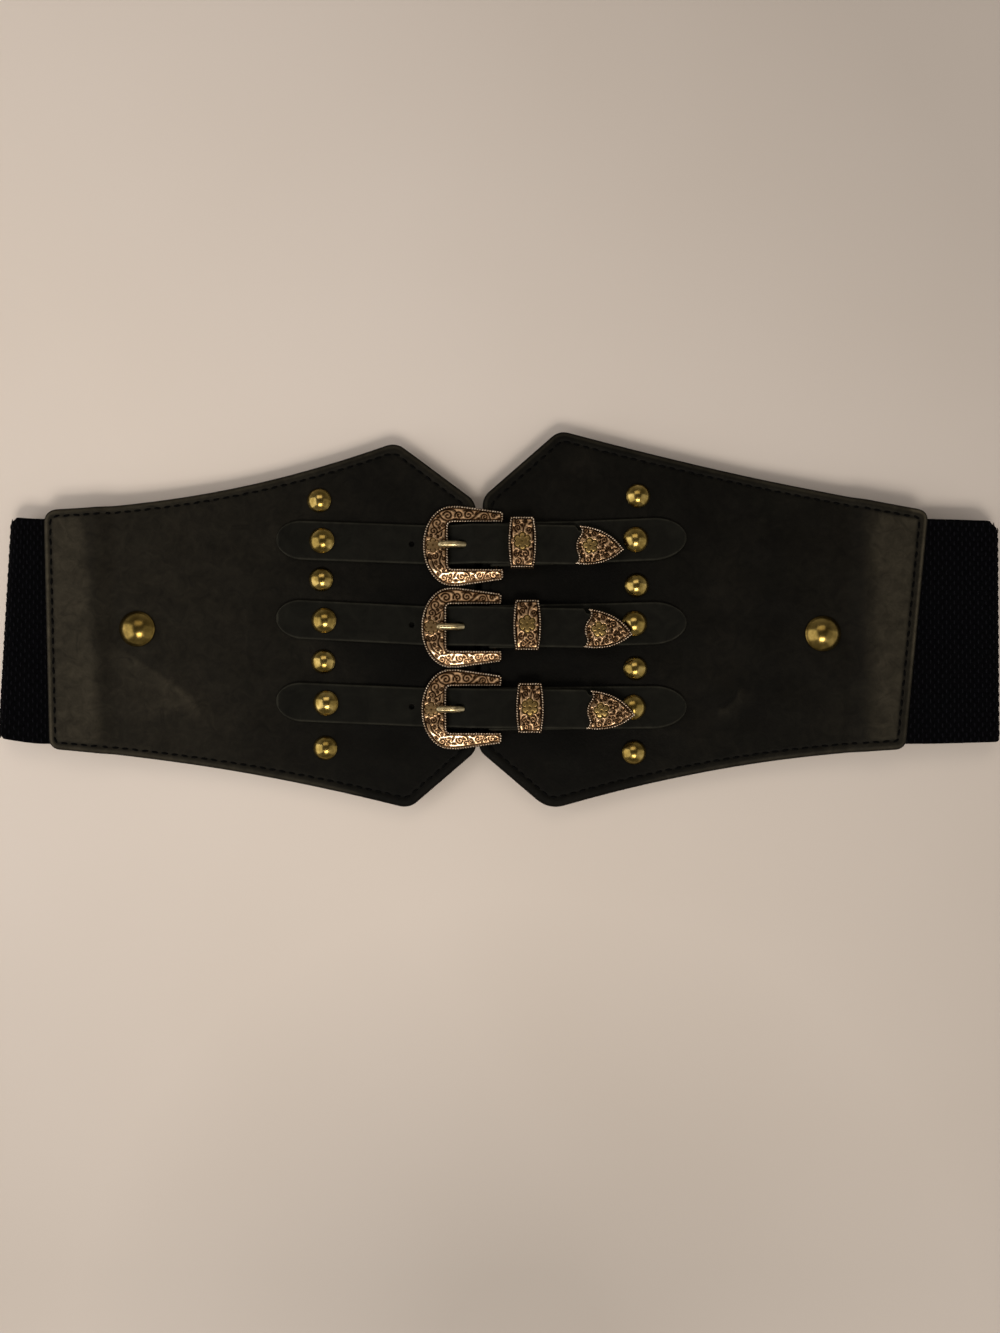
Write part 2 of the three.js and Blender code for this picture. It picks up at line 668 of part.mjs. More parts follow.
const postInFace = faceThick + lay;
for (const panel of panels) {
  const outline = prism(panelOutline(panel));
  const rivets = layouts.map((row) => row.rivet[panel.name]);
  const studs = panel.studs.places.map((place) => {
    const y = rowCentreY + place * rowPitch;
    return { x: panel.studs.x + panel.studs.lean * y, y, z: strapZ };
  });
  const big = panel.largeStud;
  const step = 1;
  const before = faceUnder(panel, Math.abs(big.x) - step);
  const slope = (faceUnder(panel, Math.abs(big.x) + step) - before) / (2 * step);
  const seat = { x: big.x, y: big.y, z: faceUnder(panel, big.x) + faceThick + lay };
  const posts = [...rivets, ...studs, big].map(({ x, y }) => hole(x, y, postRadius + slide));
  const face = layerSide(panel, faceUnder, faceThick).intersect(outline);
  add(`face_${panel.name}`, face.subtract(wasm.Manifold.union(posts)), faceLeather);
  const backing = layerSide(panel, backingUnder, backingThick).intersect(outline);
  add(`backing_${panel.name}`, backing, backingLeather);
  studs.forEach((at, i) => add(`stud_${panel.name}_${i + 1}`, stud(panelStud, at, postInFace), studBrass));
  rivets.forEach(({ x, y }, i) => {
    const at = { x, y, z: strapZ + strapThick + lay };
    const name = `rivet_${panel.name}_${layouts[i].name}`;
    add(name, stud(strapRivet, at, postInFace + strapThick + lay), studBrass);
  });
  const tip = -panel.side * Math.atan(slope);
  add(`large_stud_${panel.name}`, stud(largeStud, seat, postInFace, tip), studBrass);
}

for (const row of layouts) {
  add(`short_strap_${row.name}`, shortStrap(row), strapLeather);
  add(`long_strap_${row.name}`, longStrap(row, prongShaft(row, prongRadius + slide)), strapLeather);
  add(`buckle_frame_${row.name}`, buckleFrame(row), engravedGold);
  add(`prong_${row.name}`, prong(row), prongGold);
  add(`keeper_${row.name}`, keeper(row), engravedGold);
  add(`strap_tip_${row.name}`, strapTip(row), engravedGold);
}

export default belt;
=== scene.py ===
import math

import bmesh
import bpy
import numpy as np
from mathutils import Matrix, Vector
from mathutils.geometry import delaunay_2d_cdt


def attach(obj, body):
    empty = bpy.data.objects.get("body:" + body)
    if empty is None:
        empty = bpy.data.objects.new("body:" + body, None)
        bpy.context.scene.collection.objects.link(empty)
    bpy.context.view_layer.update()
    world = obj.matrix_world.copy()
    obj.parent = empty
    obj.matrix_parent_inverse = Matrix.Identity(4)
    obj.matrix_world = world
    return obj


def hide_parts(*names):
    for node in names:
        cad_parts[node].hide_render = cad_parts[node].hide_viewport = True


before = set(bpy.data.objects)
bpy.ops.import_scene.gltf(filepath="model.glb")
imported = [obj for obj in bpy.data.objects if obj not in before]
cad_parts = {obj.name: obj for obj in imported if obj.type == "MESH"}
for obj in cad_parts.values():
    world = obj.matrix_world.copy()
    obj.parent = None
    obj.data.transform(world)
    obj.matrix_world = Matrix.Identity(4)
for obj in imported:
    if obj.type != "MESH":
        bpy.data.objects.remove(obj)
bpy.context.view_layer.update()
mm = 0.001
print("frame loaded:", len(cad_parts), "nodes")

# ---- camera, floor and light

studio = {
    "eye": (0.4, -12.8, 395.5),
    "lens": 28.5,
    "floor": "#ddd4ce",
    "floorShade": "#d6ccc4",
    "air": "#d6cec2",
    "airOverhead": 0.12,
    "airLevel": 0.5,
    # painted shade: the floor is painted darker near its front edge and in its far right corner, with a painted
    # shadow where one stands in front of it:
    # each has the reach in metres over which it changes, and the shade at both ends
    "shadedCornerAxis": (1, 0.6, 0),
    "standerShadowCentre": (0.01, -0.27, 0),
    "floorPaintedShade": {"near": (-0.24, 0, 0.76, 1), "corner": (-0.1, 0.28, 1, 0.7), "foot": (0.03, 0.17, 0.78, 1)},
    # each light: place, width and depth, power, colour
    "lights": {
        "ceilingLamp": ((50, -600, 900), (420, 300), 4.2, "#fff6e8"),
        "shelfLamp": ((50, -455, 880), (420, 110), 1.5, "#fff4e4"),
        "leftWindow": ((-1500, -250, 1000), (2000, 2000), 21.5, "#fffaf5"),
        "hallLamp": ((-60, 560, 900), (700, 420), 1.6, "#fff1e0"),
        "rightWindow": ((1300, -500, 900), (2000, 2000), 6.8, "#fffaf5"),
    },
}


def linear(hexColour):
    channels = [int(hexColour[i:i + 2], 16) / 255 for i in (1, 3, 5)]
    return [c / 12.92 if c <= 0.04045 else ((c + 0.055) / 1.055) ** 2.4 for c in channels] + [1]


def link(tree, source, socket):
    # a node given in place of a socket stands for its first output
    tree.links.new(getattr(source, "outputs", [source])[0], socket)


def addNode(tree, kind, settings={}, links={}, stops=()):
    node = tree.nodes.new(kind)
    for key, value in settings.items():
        if isinstance(key, int) or key in node.inputs:
            node.inputs[key].default_value = value
        else:
            setattr(node, key, value)
    for key, source in links.items():
        link(tree, source, node.inputs[key])
    for i, (place, colour) in enumerate(stops):
        spots = node.color_ramp.elements
        spot = spots[i] if i < 2 else spots.new(place)
        spot.position, spot.color = place, linear(colour)
    return node


def linked(name, data):
    thing = bpy.data.objects.new(name, data)
    bpy.context.scene.collection.objects.link(thing)
    return thing


camera = linked("camera", bpy.data.cameras.new("camera"))
camera.data.sensor_width = 36
camera.data.lens = studio["lens"]
camera.location = [v * mm for v in studio["eye"]]
camera.data.clip_start = 0.01
bpy.context.scene.camera = camera

for name, (place, (width, depth), power, colour) in studio["lights"].items():
    lamp = bpy.data.lights.new(name, "AREA")
    lamp.shape = "RECTANGLE"
    lamp.size, lamp.size_y, lamp.energy, lamp.color = width * mm, depth * mm, power, linear(colour)[:3]
    light = linked(name, lamp)
    light.location = [v * mm for v in place]
    light.rotation_euler = (-Vector(place)).to_track_quat("-Z", "Y").to_euler()
world = bpy.data.worlds.new("air")
world.use_nodes = True
air = world.node_tree.nodes["Background"]
air.inputs["Color"].default_value = linear(studio["air"])
# the room is brighter at eye level than overhead
heading = addNode(world.node_tree, "ShaderNodeTexCoord")
height = addNode(world.node_tree, "ShaderNodeSeparateXYZ", {}, {0: heading.outputs["Generated"]})
strength = addNode(world.node_tree, "ShaderNodeMapRange",
                   {"From Max": 0.75, "To Min": studio["airLevel"], "To Max": studio["airOverhead"]},
                   {"Value": height.outputs["Z"]})
link(world.node_tree, strength, air.inputs["Strength"])
bpy.context.scene.world = world
bpy.context.scene.view_settings.view_transform = "Standard"


# ---- materials

def newMaterial(name, values):
    material = bpy.data.materials.new(name)
    material.use_nodes = True
    tree = material.node_tree
    for key, value in values.items():
        tree.nodes["Principled BSDF"].inputs[key].default_value = value
    return material, tree, addNode(tree, "ShaderNodeTexCoord").outputs["Object"]


def wired(material, sources):
    # leads each node's result into the shader
    tree = material.node_tree
    for key, source in sources.items():
        link(tree, source, tree.nodes["Principled BSDF"].inputs[key])
    return material


def perMetre(size):
    return 1 / (size * mm)


def makeFloor():
    # painted board, matt, with a barely uneven tone
    material, tree, place = newMaterial("paintedBoard", {"Roughness": 0.75, "Specular IOR Level": 0.2})
    cloud = addNode(tree, "ShaderNodeTexNoise", {"Scale": perMetre(300), "Detail": 3}, {"Vector": place})
    tone = addNode(tree, "ShaderNodeValToRGB", {}, {"Fac": cloud},
                   [(0.3, studio["floor"]), (0.7, studio["floorShade"])])
    ahead = addNode(tree, "ShaderNodeSeparateXYZ", {}, {0: place})
    slant = addNode(tree, "ShaderNodeVectorMath", {"operation": "DOT_PRODUCT", 1: studio["shadedCornerAxis"]}, {0: place})
    away = addNode(tree, "ShaderNodeVectorMath", {"operation": "DISTANCE", 1: studio["standerShadowCentre"]}, {0: place})
    where = {"near": ahead.outputs["Y"], "corner": slant.outputs["Value"], "foot": away.outputs["Value"]}
    # painted shade near the front edge and in the far right corner, and a painted shadow of one standing in front
    colour = tone
    for part, (low, high, before, after) in studio["floorPaintedShade"].items():
        paintedShade = addNode(tree, "ShaderNodeMapRange",
                       {"From Min": low, "From Max": high, "To Min": before, "To Max": after}, {"Value": where[part]})
        colour = addNode(tree, "ShaderNodeVectorMath", {"operation": "MULTIPLY"}, {0: colour, 1: paintedShade})
    return wired(material, {"Base Color": colour})


def makeLeather(name, look):
    # pull-up cowhide rubbed with wax: dark and mottled, paler where it is bent or rubbed; the same value also paints
    # sheen and highlights paler and paints the straps' shade darker
    material, tree, place = newMaterial(name, {"Specular IOR Level": look["gloss"]})
    mottle = addNode(tree, "ShaderNodeTexNoise",
                     {"Scale": perMetre(look["mottleMm"]), "Detail": 7, "Roughness": 0.62}, {"Vector": place})
    tone = addNode(tree, "ShaderNodeValToRGB", {}, {"Fac": mottle},
                   [(0.33, look["dark"]), (0.72, look["light"]), (0.52, look["mid"])])
    rub = addNode(tree, "ShaderNodeTexNoise", {"Scale": perMetre(look["rubMm"]), "Detail": 8, "Roughness": 0.7},
                  {"Vector": place})
    wear = addNode(tree, "ShaderNodeAttribute", {"attribute_name": "wear"})
    patchy = addNode(tree, "ShaderNodeMapRange", {"From Min": 0.3, "From Max": 0.7, "To Min": 0.55}, {"Value": rub})
    amount = addNode(tree, "ShaderNodeMath", {"operation": "MULTIPLY", "use_clamp": True},
                     {0: patchy, 1: wear.outputs["Fac"]})
    wornAndSheen = addNode(tree, "ShaderNodeMix", {"data_type": "RGBA", 7: linear(look["wornAndSheen"])}, {0: amount, 6: tone})
    # fine crumpled tone, as the wax cracks when the hide is worked
    crumple = addNode(tree, "ShaderNodeTexNoise",
                      {"Scale": perMetre(look["crumpleMm"]), "Detail": 6, "Roughness": 0.6, "Distortion": 1.4},
                      {"Vector": place})
    crackle = addNode(tree, "ShaderNodeMapRange", {"From Min": 0.3, "From Max": 0.7, "To Min": 0.66, "To Max": 1.34},
                      {"Value": crumple})
    # painted shade: a value below nought darkens the hide where the straps shade it
    kept = addNode(tree, "ShaderNodeMapRange", {"From Min": -1, "From Max": 0, "To Min": 0.3},
                   {"Value": wear.outputs["Fac"]})
    shade = addNode(tree, "ShaderNodeMath", {"operation": "MULTIPLY"}, {0: crackle, 1: kept})
    skin = addNode(tree, "ShaderNodeVectorMath", {"operation": "MULTIPLY"}, {0: wornAndSheen.outputs[2], 1: shade})
    sheen = addNode(tree, "ShaderNodeMapRange",
                    {"To Min": look["roughness"] - 0.07, "To Max": look["roughness"] + 0.09}, {"Value": mottle})
    # pebbled grain, drawn a little coarser than the real 0.4 mm so that it shows
    grain = addNode(tree, "ShaderNodeTexVoronoi", {"Scale": perMetre(look["grainMm"])}, {"Vector": place})
    fine = addNode(tree, "ShaderNodeTexNoise", {"Scale": perMetre(look["grainMm"] * 2.6), "Detail": 5},
                   {"Vector": place})
    height = addNode(tree, "ShaderNodeMath", {"operation": "ADD"}, {0: grain, 1: fine})
    bump = addNode(tree, "ShaderNodeBump", {"Strength": look["grainDepth"], "Distance": 0.12 * mm},
                   {"Height": height})
    return wired(material, {"Base Color": skin, "Roughness": sheen, "Normal": bump})


def makeElastic():
    # polyester warp over rubber cores: near black, soft, with a faint fuzz
    material, tree, place = newMaterial("wovenElastic", {"Roughness": 0.9, "Specular IOR Level": 0.02})
    thread = addNode(tree, "ShaderNodeTexNoise", {"Scale": perMetre(1.1), "Detail": 4}, {"Vector": place})
    tone = addNode(tree, "ShaderNodeValToRGB", {}, {"Fac": thread}, [(0.35, "#020203"), (0.7, "#060608")])
    bump = addNode(tree, "ShaderNodeBump", {"Strength": 0.5, "Distance": 0.15 * mm}, {"Height": thread})
    return wired(material, {"Base Color": tone, "Normal": bump})


def makeThread(name, dark, light, roughness):
    # bonded nylon thread: twisted, slightly glossy
    material, tree, place = newMaterial(name, {"Roughness": roughness, "Specular IOR Level": 0.03})
    twist = addNode(tree, "ShaderNodeTexNoise", {"Scale": perMetre(0.35), "Detail": 2}, {"Vector": place})
    tone = addNode(tree, "ShaderNodeValToRGB", {}, {"Fac": twist}, [(0.35, dark), (0.65, light)])
    return wired(material, {"Base Color": tone})


def makeEngraved():
    # cast zinc with rose-gold plating, blackened and rubbed back so that the recesses stay dark
    material, tree, place = newMaterial("antiqueRoseGold", {"Metallic": 1})
    relief = addNode(tree, "ShaderNodeAttribute", {"attribute_name": "relief"})
    bloom = addNode(tree, "ShaderNodeAttribute", {"attribute_name": "bloom"})
    stain = addNode(tree, "ShaderNodeTexNoise", {"Scale": perMetre(1.6), "Detail": 5, "Roughness": 0.7},
                    {"Vector": place})
    spread = addNode(tree, "ShaderNodeMapRange", {"To Min": -0.14, "To Max": 0.14}, {"Value": stain})
    height = addNode(tree, "ShaderNodeMath", {"operation": "ADD", "use_clamp": True},
                     {0: relief.outputs["Fac"], 1: spread})
    plate = addNode(tree, "ShaderNodeValToRGB", {}, {"Fac": height},
                    [(0.05, "#110b06"), (1, "#ecdec2"), (0.4, "#664d36"), (0.8, "#ae9070")])
    golden = addNode(tree, "ShaderNodeValToRGB", {}, {"Fac": height},
                     [(0.05, "#191207"), (1, "#c4ab6e"), (0.5, "#7a6738")])
    colour = addNode(tree, "ShaderNodeMix", {"data_type": "RGBA"}, {0: bloom.outputs["Fac"], 6: plate, 7: golden})
    polish = addNode(tree, "ShaderNodeMapRange", {"To Min": 0.46, "To Max": 0.24}, {"Value": height})
    bump = addNode(tree, "ShaderNodeBump", {"Strength": 0.2, "Distance": 0.08 * mm}, {"Height": stain})
    return wired(material, {"Base Color": colour.outputs[2], "Roughness": polish, "Normal": bump})


def makeBrass(name, look):
    # spun brass lacquered and aged: bright, with brown tarnish in soft patches
    material, tree, place = newMaterial(name, {"Metallic": 1})
    tarnish = addNode(tree, "ShaderNodeTexNoise",
                      {"Scale": perMetre(look["tarnishMm"]), "Detail": 6, "Roughness": 0.65}, {"Vector": place})
    tone = addNode(tree, "ShaderNodeValToRGB", {}, {"Fac": tarnish},
                   [(0.3, look["dark"]), (0.7, look["bright"]), (0.48, look["mid"])])
    polish = addNode(tree, "ShaderNodeMapRange",
                     {"To Min": look["roughness"] + 0.12, "To Max": look["roughness"] - 0.04}, {"Value": tarnish})
    return wired(material, {"Base Color": tone, "Roughness": polish})


leatherLooks = {
    "face": {"dark": "#080705", "mid": "#0c0b08", "light": "#13110d", "wornAndSheen": "#443f34", "mottleMm": 26, "rubMm": 7,
             "crumpleMm": 5, "grainMm": 0.8, "grainDepth": 0.35, "roughness": 0.58, "gloss": 0.05},
    "strap": {"dark": "#070705", "mid": "#090907", "light": "#0d0d0a", "wornAndSheen": "#2f2e27", "mottleMm": 30, "rubMm": 4,
              "crumpleMm": 9, "grainMm": 0.5, "grainDepth": 0.12, "roughness": 0.66, "gloss": 0.05},
    "backing": {"dark": "#0d0c0a", "mid": "#12110f", "light": "#181613", "wornAndSheen": "#25231f", "mottleMm": 18,
                "rubMm": 4, "crumpleMm": 3, "grainMm": 0.6, "grainDepth": 0.3, "roughness": 0.72, "gloss": 0.1},
}
brassLooks = {
    "stud": {"dark": "#66552a", "mid": "#8c773f", "bright": "#c2aa69", "tarnishMm": 4, "roughness": 0.17},
    "rope": {"dark": "#705c4a", "mid": "#ae9a84", "bright": "#e2d4c2", "tarnishMm": 1.5, "roughness": 0.3},
    "largeStud": {"dark": "#5e4e26", "mid": "#7a6736", "bright": "#a08a50", "tarnishMm": 5, "roughness": 0.2},
    "prong": {"dark": "#7d6e50", "mid": "#a59775", "bright": "#cabd9a", "tarnishMm": 2, "roughness": 0.25},
}
materials = {
    "floor": makeFloor(),
    "face": makeLeather("waxedPullUpLeather", leatherLooks["face"]),
    "strap": makeLeather("smoothBeltLeather", leatherLooks["strap"]),
    "backing": makeLeather("splitLeatherBacking", leatherLooks["backing"]),
    "elastic": makeElastic(),
    "rib": makeThread("elasticWarpThread", "#07070a", "#101014", 0.85),
    "thread": makeThread("bondedNylonThread", "#020202", "#060606", 0.6),
    "engraved": makeEngraved(),
    "stud": makeBrass("agedStudBrass", brassLooks["stud"]),
    "rope": makeBrass("rubbedRoseGold", brassLooks["rope"]),
    "largeStud": makeBrass("darkStudBrass", brassLooks["largeStud"]),
    "prong": makeBrass("satinProngBrass", brassLooks["prong"]),
}
print("materials made:", len(materials))


# ---- mesh helpers

def makePiece(name, solid, material, slot, node):
    # solid is points and faces, and where the material reads any, the values at the points
    points, faces, *rest = solid
    mesh = bpy.data.meshes.new(name)
    mesh.from_pydata((np.asarray(points, float) * mm).tolist(), [], [list(f) for f in faces])
    for label, numbers in (rest[0] if rest else {}).items():
        mesh.attributes.new(label, "FLOAT", "POINT").data.foreach_set("value", np.asarray(numbers, np.float32))
    rough = bmesh.new()
    rough.from_mesh(mesh)
    bmesh.ops.recalc_face_normals(rough, faces=rough.faces)
    rough.to_mesh(mesh)
    rough.free()
    mesh.shade_smooth()
    mesh.materials.append(materials[material])
    return settle(linked(name, mesh), slot, node)


def settle(piece, slot, *nodes):
    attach(piece, "root")
    if nodes:
        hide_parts(*nodes)
    return piece


def lofted(sections, ring=False):
    # quads between sections of equal size, with flat ends unless the sections close into a ring
    sections = np.asarray(sections, float)
    count, size = sections.shape[:2]
    faces = []
    for i in range(count if ring else count - 1):
        j = (i + 1) % count
        for k in range(size):
            n = (k + 1) % size
            faces.append((i * size + k, i * size + n, j * size + n, j * size + k))
    if not ring:
        faces.append(tuple(range(size)))
        faces.append(tuple((count - 1) * size + k for k in reversed(range(size))))
    return sections.reshape(-1, 3), faces


def joined(*shells):
    points, faces, start = [], [], 0
    for shellPoints, shellFaces in shells:
        points.append(np.asarray(shellPoints, float))
        faces += [tuple(i + start for i in f) for f in shellFaces]
        start += len(shellPoints)
    return np.vstack(points), faces


def lengthAlong(line):
    return np.concatenate([[0], np.cumsum(np.linalg.norm(np.diff(line, axis=0), axis=1))])


def headings(loop):
    return np.roll(loop, -1, axis=0) - np.roll(loop, 1, axis=0)


def smooth(share):
    t = np.clip(share, 0, 1)
    return t * t * (3 - 2 * t)


def resampled(outline, step):
    closed = np.vstack([outline, outline[:1]])
    along = lengthAlong(closed)
    places = np.linspace(0, along[-1], max(12, round(along[-1] / step)), endpoint=False)
    return np.column_stack([np.interp(places, along, closed[:, i]) for i in (0, 1)])


def inwards(outline):
    # unit normals that point into an anticlockwise outline
    run = headings(outline)
    side = np.column_stack([-run[:, 1], run[:, 0]])
    return side / np.linalg.norm(side, axis=1, keepdims=True)


def depthInside(points, outline):
    # distance to the nearest side, worked out a few points at a time
    edge = np.roll(outline, -1, axis=0) - outline
    square = (edge ** 2).sum(axis=1)
    best = np.empty(len(points))
    for first in range(0, len(points), 1500):
        part = points[first:first + 1500, None, :] - outline[None]
        share = np.clip((part * edge[None]).sum(axis=2) / square, 0, 1)
        best[first:first + 1500] = np.linalg.norm(part - share[..., None] * edge[None], axis=2).min(axis=1)
    return best


def isInside(points, outline):
    inside = np.zeros(len(points), bool)
    x, y = points.T
    for (x1, y1), (x2, y2) in zip(outline, np.roll(outline, -1, axis=0)):
        crosses = (y1 > y) != (y2 > y)
        inside[crosses] ^= x[crosses] < (x2 - x1) * (y[crosses] - y1) / (y2 - y1) + x1
    return inside


def gridInside(outline, step, depth):
    low, high = outline.min(axis=0), outline.max(axis=0)
    xs, ys = np.arange(low[0], high[0], step), np.arange(low[1], high[1], step * 0.87)
    grid = np.array([(x + (step / 2 if i % 2 else 0), y) for i, y in enumerate(ys) for x in xs])
    grid = grid[isInside(grid, outline)]
    return grid[depthInside(grid, outline) > depth]


def triangulated(points, edgeCount):
    flat, _, faces, *_ = delaunay_2d_cdt([Vector(p) for p in points], [], [list(range(edgeCount))], 1, 1e-7)
    if len(flat) != len(points):
        raise ValueError("plate points were merged")
    return [tuple(f) for f in faces]


def lengthened(values, count, fill):
    # values for points that come after the first ones: fill has one for each label
    return {label: np.concatenate([numbers, np.full(count, fill[label])]) for label, numbers in values.items()}


def reliefPlate(outline, plate, topHeight, baseHeight):
    # a plate with a sculpted top: rows of points follow its edge, and a grid fills its middle
    edge = resampled(outline, plate["step"])
    normals = inwards(edge)
    layers = [edge]
    for depth in plate["rows"]:
        row = edge + normals * depth
        layers.append(row[(depthInside(row, edge) > depth * 0.95) & isInside(row, edge)])
    layers.append(gridInside(edge, plate["grid"], plate["rows"][-1] + plate["grid"] * 0.55))
    top = np.vstack(layers)
    topFaces = triangulated(top, len(edge))
    base = np.vstack([edge, gridInside(edge, plate["baseGrid"], plate["baseGrid"] * 0.6)])
    baseFaces = triangulated(base, len(edge))
    topZ, values = topHeight(top, depthInside(top, edge))
    baseZ = baseHeight(base)
    count = len(edge)
    waist = edge - normals * plate["swell"]
    waistZ = baseZ[:count] * 0.5 + topZ[:count] * 0.5
    points = np.vstack([np.column_stack(pair) for pair in ((top, topZ), (waist, waistZ), (base, baseZ))])
    waistStart, baseStart = len(top), len(top) + count
    faces = list(topFaces)
    for i in range(count):
        j = (i + 1) % count
        faces.append((i, j, waistStart + j, waistStart + i))
        faces.append((waistStart + i, waistStart + j, baseStart + j, baseStart + i))
    faces += [tuple(baseStart + k for k in reversed(f)) for f in baseFaces]
    return points, faces, lengthened(values, len(points) - len(top), dict.fromkeys(values, plate["restValue"]))


def repeatTree(name, form, settings):
    # one small form on every point, turned by the point's own angles
    tree = bpy.data.node_groups.new(name, "GeometryNodeTree")
    tree.interface.new_socket("Geometry", in_out="INPUT", socket_type="NodeSocketGeometry")
    for label in ("Length", "Width", "Height"):
        tree.interface.new_socket(label, in_out="INPUT", socket_type="NodeSocketFloat")
    tree.interface.new_socket("Material", in_out="INPUT", socket_type="NodeSocketMaterial")
    tree.interface.new_socket("Geometry", in_out="OUTPUT", socket_type="NodeSocketGeometry")
    start = addNode(tree, "NodeGroupInput")
    end = addNode(tree, "NodeGroupOutput")
    single = addNode(tree, form, settings)
    size = addNode(tree, "ShaderNodeCombineXYZ", {},
                   {"X": start.outputs["Length"], "Y": start.outputs["Width"], "Z": start.outputs["Height"]})
    angles = addNode(tree, "GeometryNodeInputNamedAttribute", {"data_type": "FLOAT_VECTOR", "Name": "turn"})
    turn = addNode(tree, "FunctionNodeEulerToRotation", {}, {"Euler": angles})
    placed = addNode(tree, "GeometryNodeInstanceOnPoints", {},
                     {"Points": start, "Instance": single, "Rotation": turn, "Scale": size})
    real = addNode(tree, "GeometryNodeRealizeInstances", {}, {"Geometry": placed})
    coated = addNode(tree, "GeometryNodeSetMaterial", {}, {"Geometry": real, "Material": start.outputs["Material"]})
    link(tree, coated, end.inputs["Geometry"])
    return tree


ribTree = repeatTree("ribsOnBand", "GeometryNodeMeshIcoSphere", {"Radius": 0.5, "Subdivisions": 1})
beadTree = repeatTree("beadsOnPath", "GeometryNodeMeshUVSphere", {"Segments": 8, "Rings": 6, "Radius": 0.5})


def repeated(name, tree, places, alongs, normals, size, material, slot):
    # size is length, width and height of one form, along the path, across it and up
    mesh = bpy.data.meshes.new(name + "Points")
    mesh.from_pydata((np.asarray(places, float) * mm).tolist(), [], [])
    turns = []
    for along, normal in zip(alongs, normals):
        x = Vector(along).normalized()
        z = Vector(normal).normalized()
        y = z.cross(x).normalized()
        turns += Matrix((x, y, x.cross(y))).transposed().to_euler()[:]
    mesh.attributes.new("turn", "FLOAT_VECTOR", "POINT").data.foreach_set("vector", turns)
    holder = linked(name + "Points", mesh)
    modifier = holder.modifiers.new("repeat", "NODES")
    modifier.node_group = tree
    inputs = dict(zip(("Length", "Width", "Height"), [v * mm for v in size]), Material=materials[material])
    for item in tree.interface.items_tree:
        if item.in_out == "INPUT" and item.name in inputs:
            modifier[item.identifier] = inputs[item.name]
    graph = bpy.context.evaluated_depsgraph_get()
    made = bpy.data.meshes.new_from_object(holder.evaluated_get(graph))
    bpy.data.objects.remove(holder)
    made.name = name
    made.shade_smooth()
    return settle(linked(name, made), slot)


# ---- heights that the pieces share with the CAD

build = {"elastic": 1.6, "centreClear": 5, "endClear": 6.5, "backing": 1, "face": 1.4, "lay": 0.25, "slide": 0.3,
         "sewnIn": 18, "flatReach": 86, "ramp": 4, "strap": 1.2, "shortWidth": 15.6, "longWidth": 14.3,
         "bar": 0.9, "barBack": 2.5, "loop": 1.15, "longReach": 81.3, "shortReach": 68.5, "longEnd": 9.5,
         "shortEnd": 12.5, "frameHalf": 14.65, "closedSide": 9.25, "keeperHalf": 5.35, "keeperFloor": 0.8}
lay, strap = build["lay"], build["strap"]
strapZ = build["elastic"] + build["centreClear"] + build["backing"] + build["face"] + 2 * lay
frameZ = strapZ + strap + lay
barZ = frameZ + build["bar"]
keeperZ = strapZ + build["keeperFloor"] + 3 * lay + 2 * strap  # where the long strap lies inside its keeper
roofZ = keeperZ + strap + lay

# a corner is its shares of the length and the half height, its rounding, and how far the side after it bows
panels = {
    "left": {"side": -1, "centreX": -8.4, "length": 157.4, "beyond": 16.2, "slant": 0.058, "seam": 2.5,
             "stud": (-64.5, -0.025, 0.8), "studs": (1.562, 0.592, -0.416, -1.477), "large": (-131.8, 0.9),
             "band": (147.9, 0.08, 0.33, 5), "wear": (0, 0.18),
             "corners": [(0.998, 0.659, 0.08, 0.078), (0.187, 1.036, 0.055, 0), (0, 0.71, 0.06, 0),
                         (0, -0.653, 0.045, 0), (0.156, -0.968, 0.055, 0.043), (0.985, -0.637, 0.06, 0)]},
    "right": {"side": 1, "centreX": -6, "length": 159.2, "beyond": 30.8, "slant": -0.006, "seam": 3.2,
              "stud": (50.1, 0.016, -0.7), "studs": (1.617, 0.519, -0.5, -1.532), "large": (118.1, -0.8),
              "band": (135.5, 0, 0.4, 10), "wear": (-0.1, 0.15),
              "corners": [(1.019, 0.654, 0.06, 0.023), (0.177, 1.101, 0.055, 0), (0.001, 0.736, 0.05, 0),
                          (-0.009, -0.647, 0.045, 0), (0.153, -0.976, 0.09, 0.06), (0.966, -0.639, 0.055, 0)]},
}
halfHeight = 67
rowPitch = 29.8
rowCentreY = 1.4
rows = {
    "top": {"place": 1, "buckleX": -13, "keeperX": 8.45, "tipX": 28.5, "shortShift": 0.15, "longShift": 0.5,
            "longSlope": -0.036, "freeSlope": -0.007, "shortSlope": 0.041, "tipTurn": -6.4, "tipRise": -1.2},
    "middle": {"place": 0, "buckleX": -13.6, "keeperX": 10.2, "tipX": 31.5, "shortShift": 0.2, "longShift": 0.8,
               "longSlope": -0.05, "freeSlope": -0.019, "shortSlope": 0.024, "tipTurn": -7.8, "tipRise": 0.35},
    "bottom": {"place": -1, "buckleX": -13.6, "keeperX": 11.2, "tipX": 32.3, "shortShift": 0.2, "longShift": 0.8,
               "longSlope": -0.042, "freeSlope": -0.011, "shortSlope": 0.01, "tipTurn": -6.7, "tipRise": 0.6},
}
for row in rows.values():
    row["y"] = rowCentreY + row["place"] * rowPitch
    row["middleY"] = row["y"] + row["shortShift"]
    row["barX"] = row["buckleX"] + build["frameHalf"] - build["barBack"]
    row["closedX"] = row["buckleX"] - build["frameHalf"]
    row["innerX"] = row["closedX"] + build["closedSide"]
    row["keeperEnds"] = row["keeperX"] - build["keeperHalf"], row["keeperX"] + build["keeperHalf"]
    row["tipZ"] = keeperZ + row["tipRise"] * strap
for panel in panels.values():
    panel["outerX"] = abs(panel["centreX"] + panel["side"] * panel["length"])


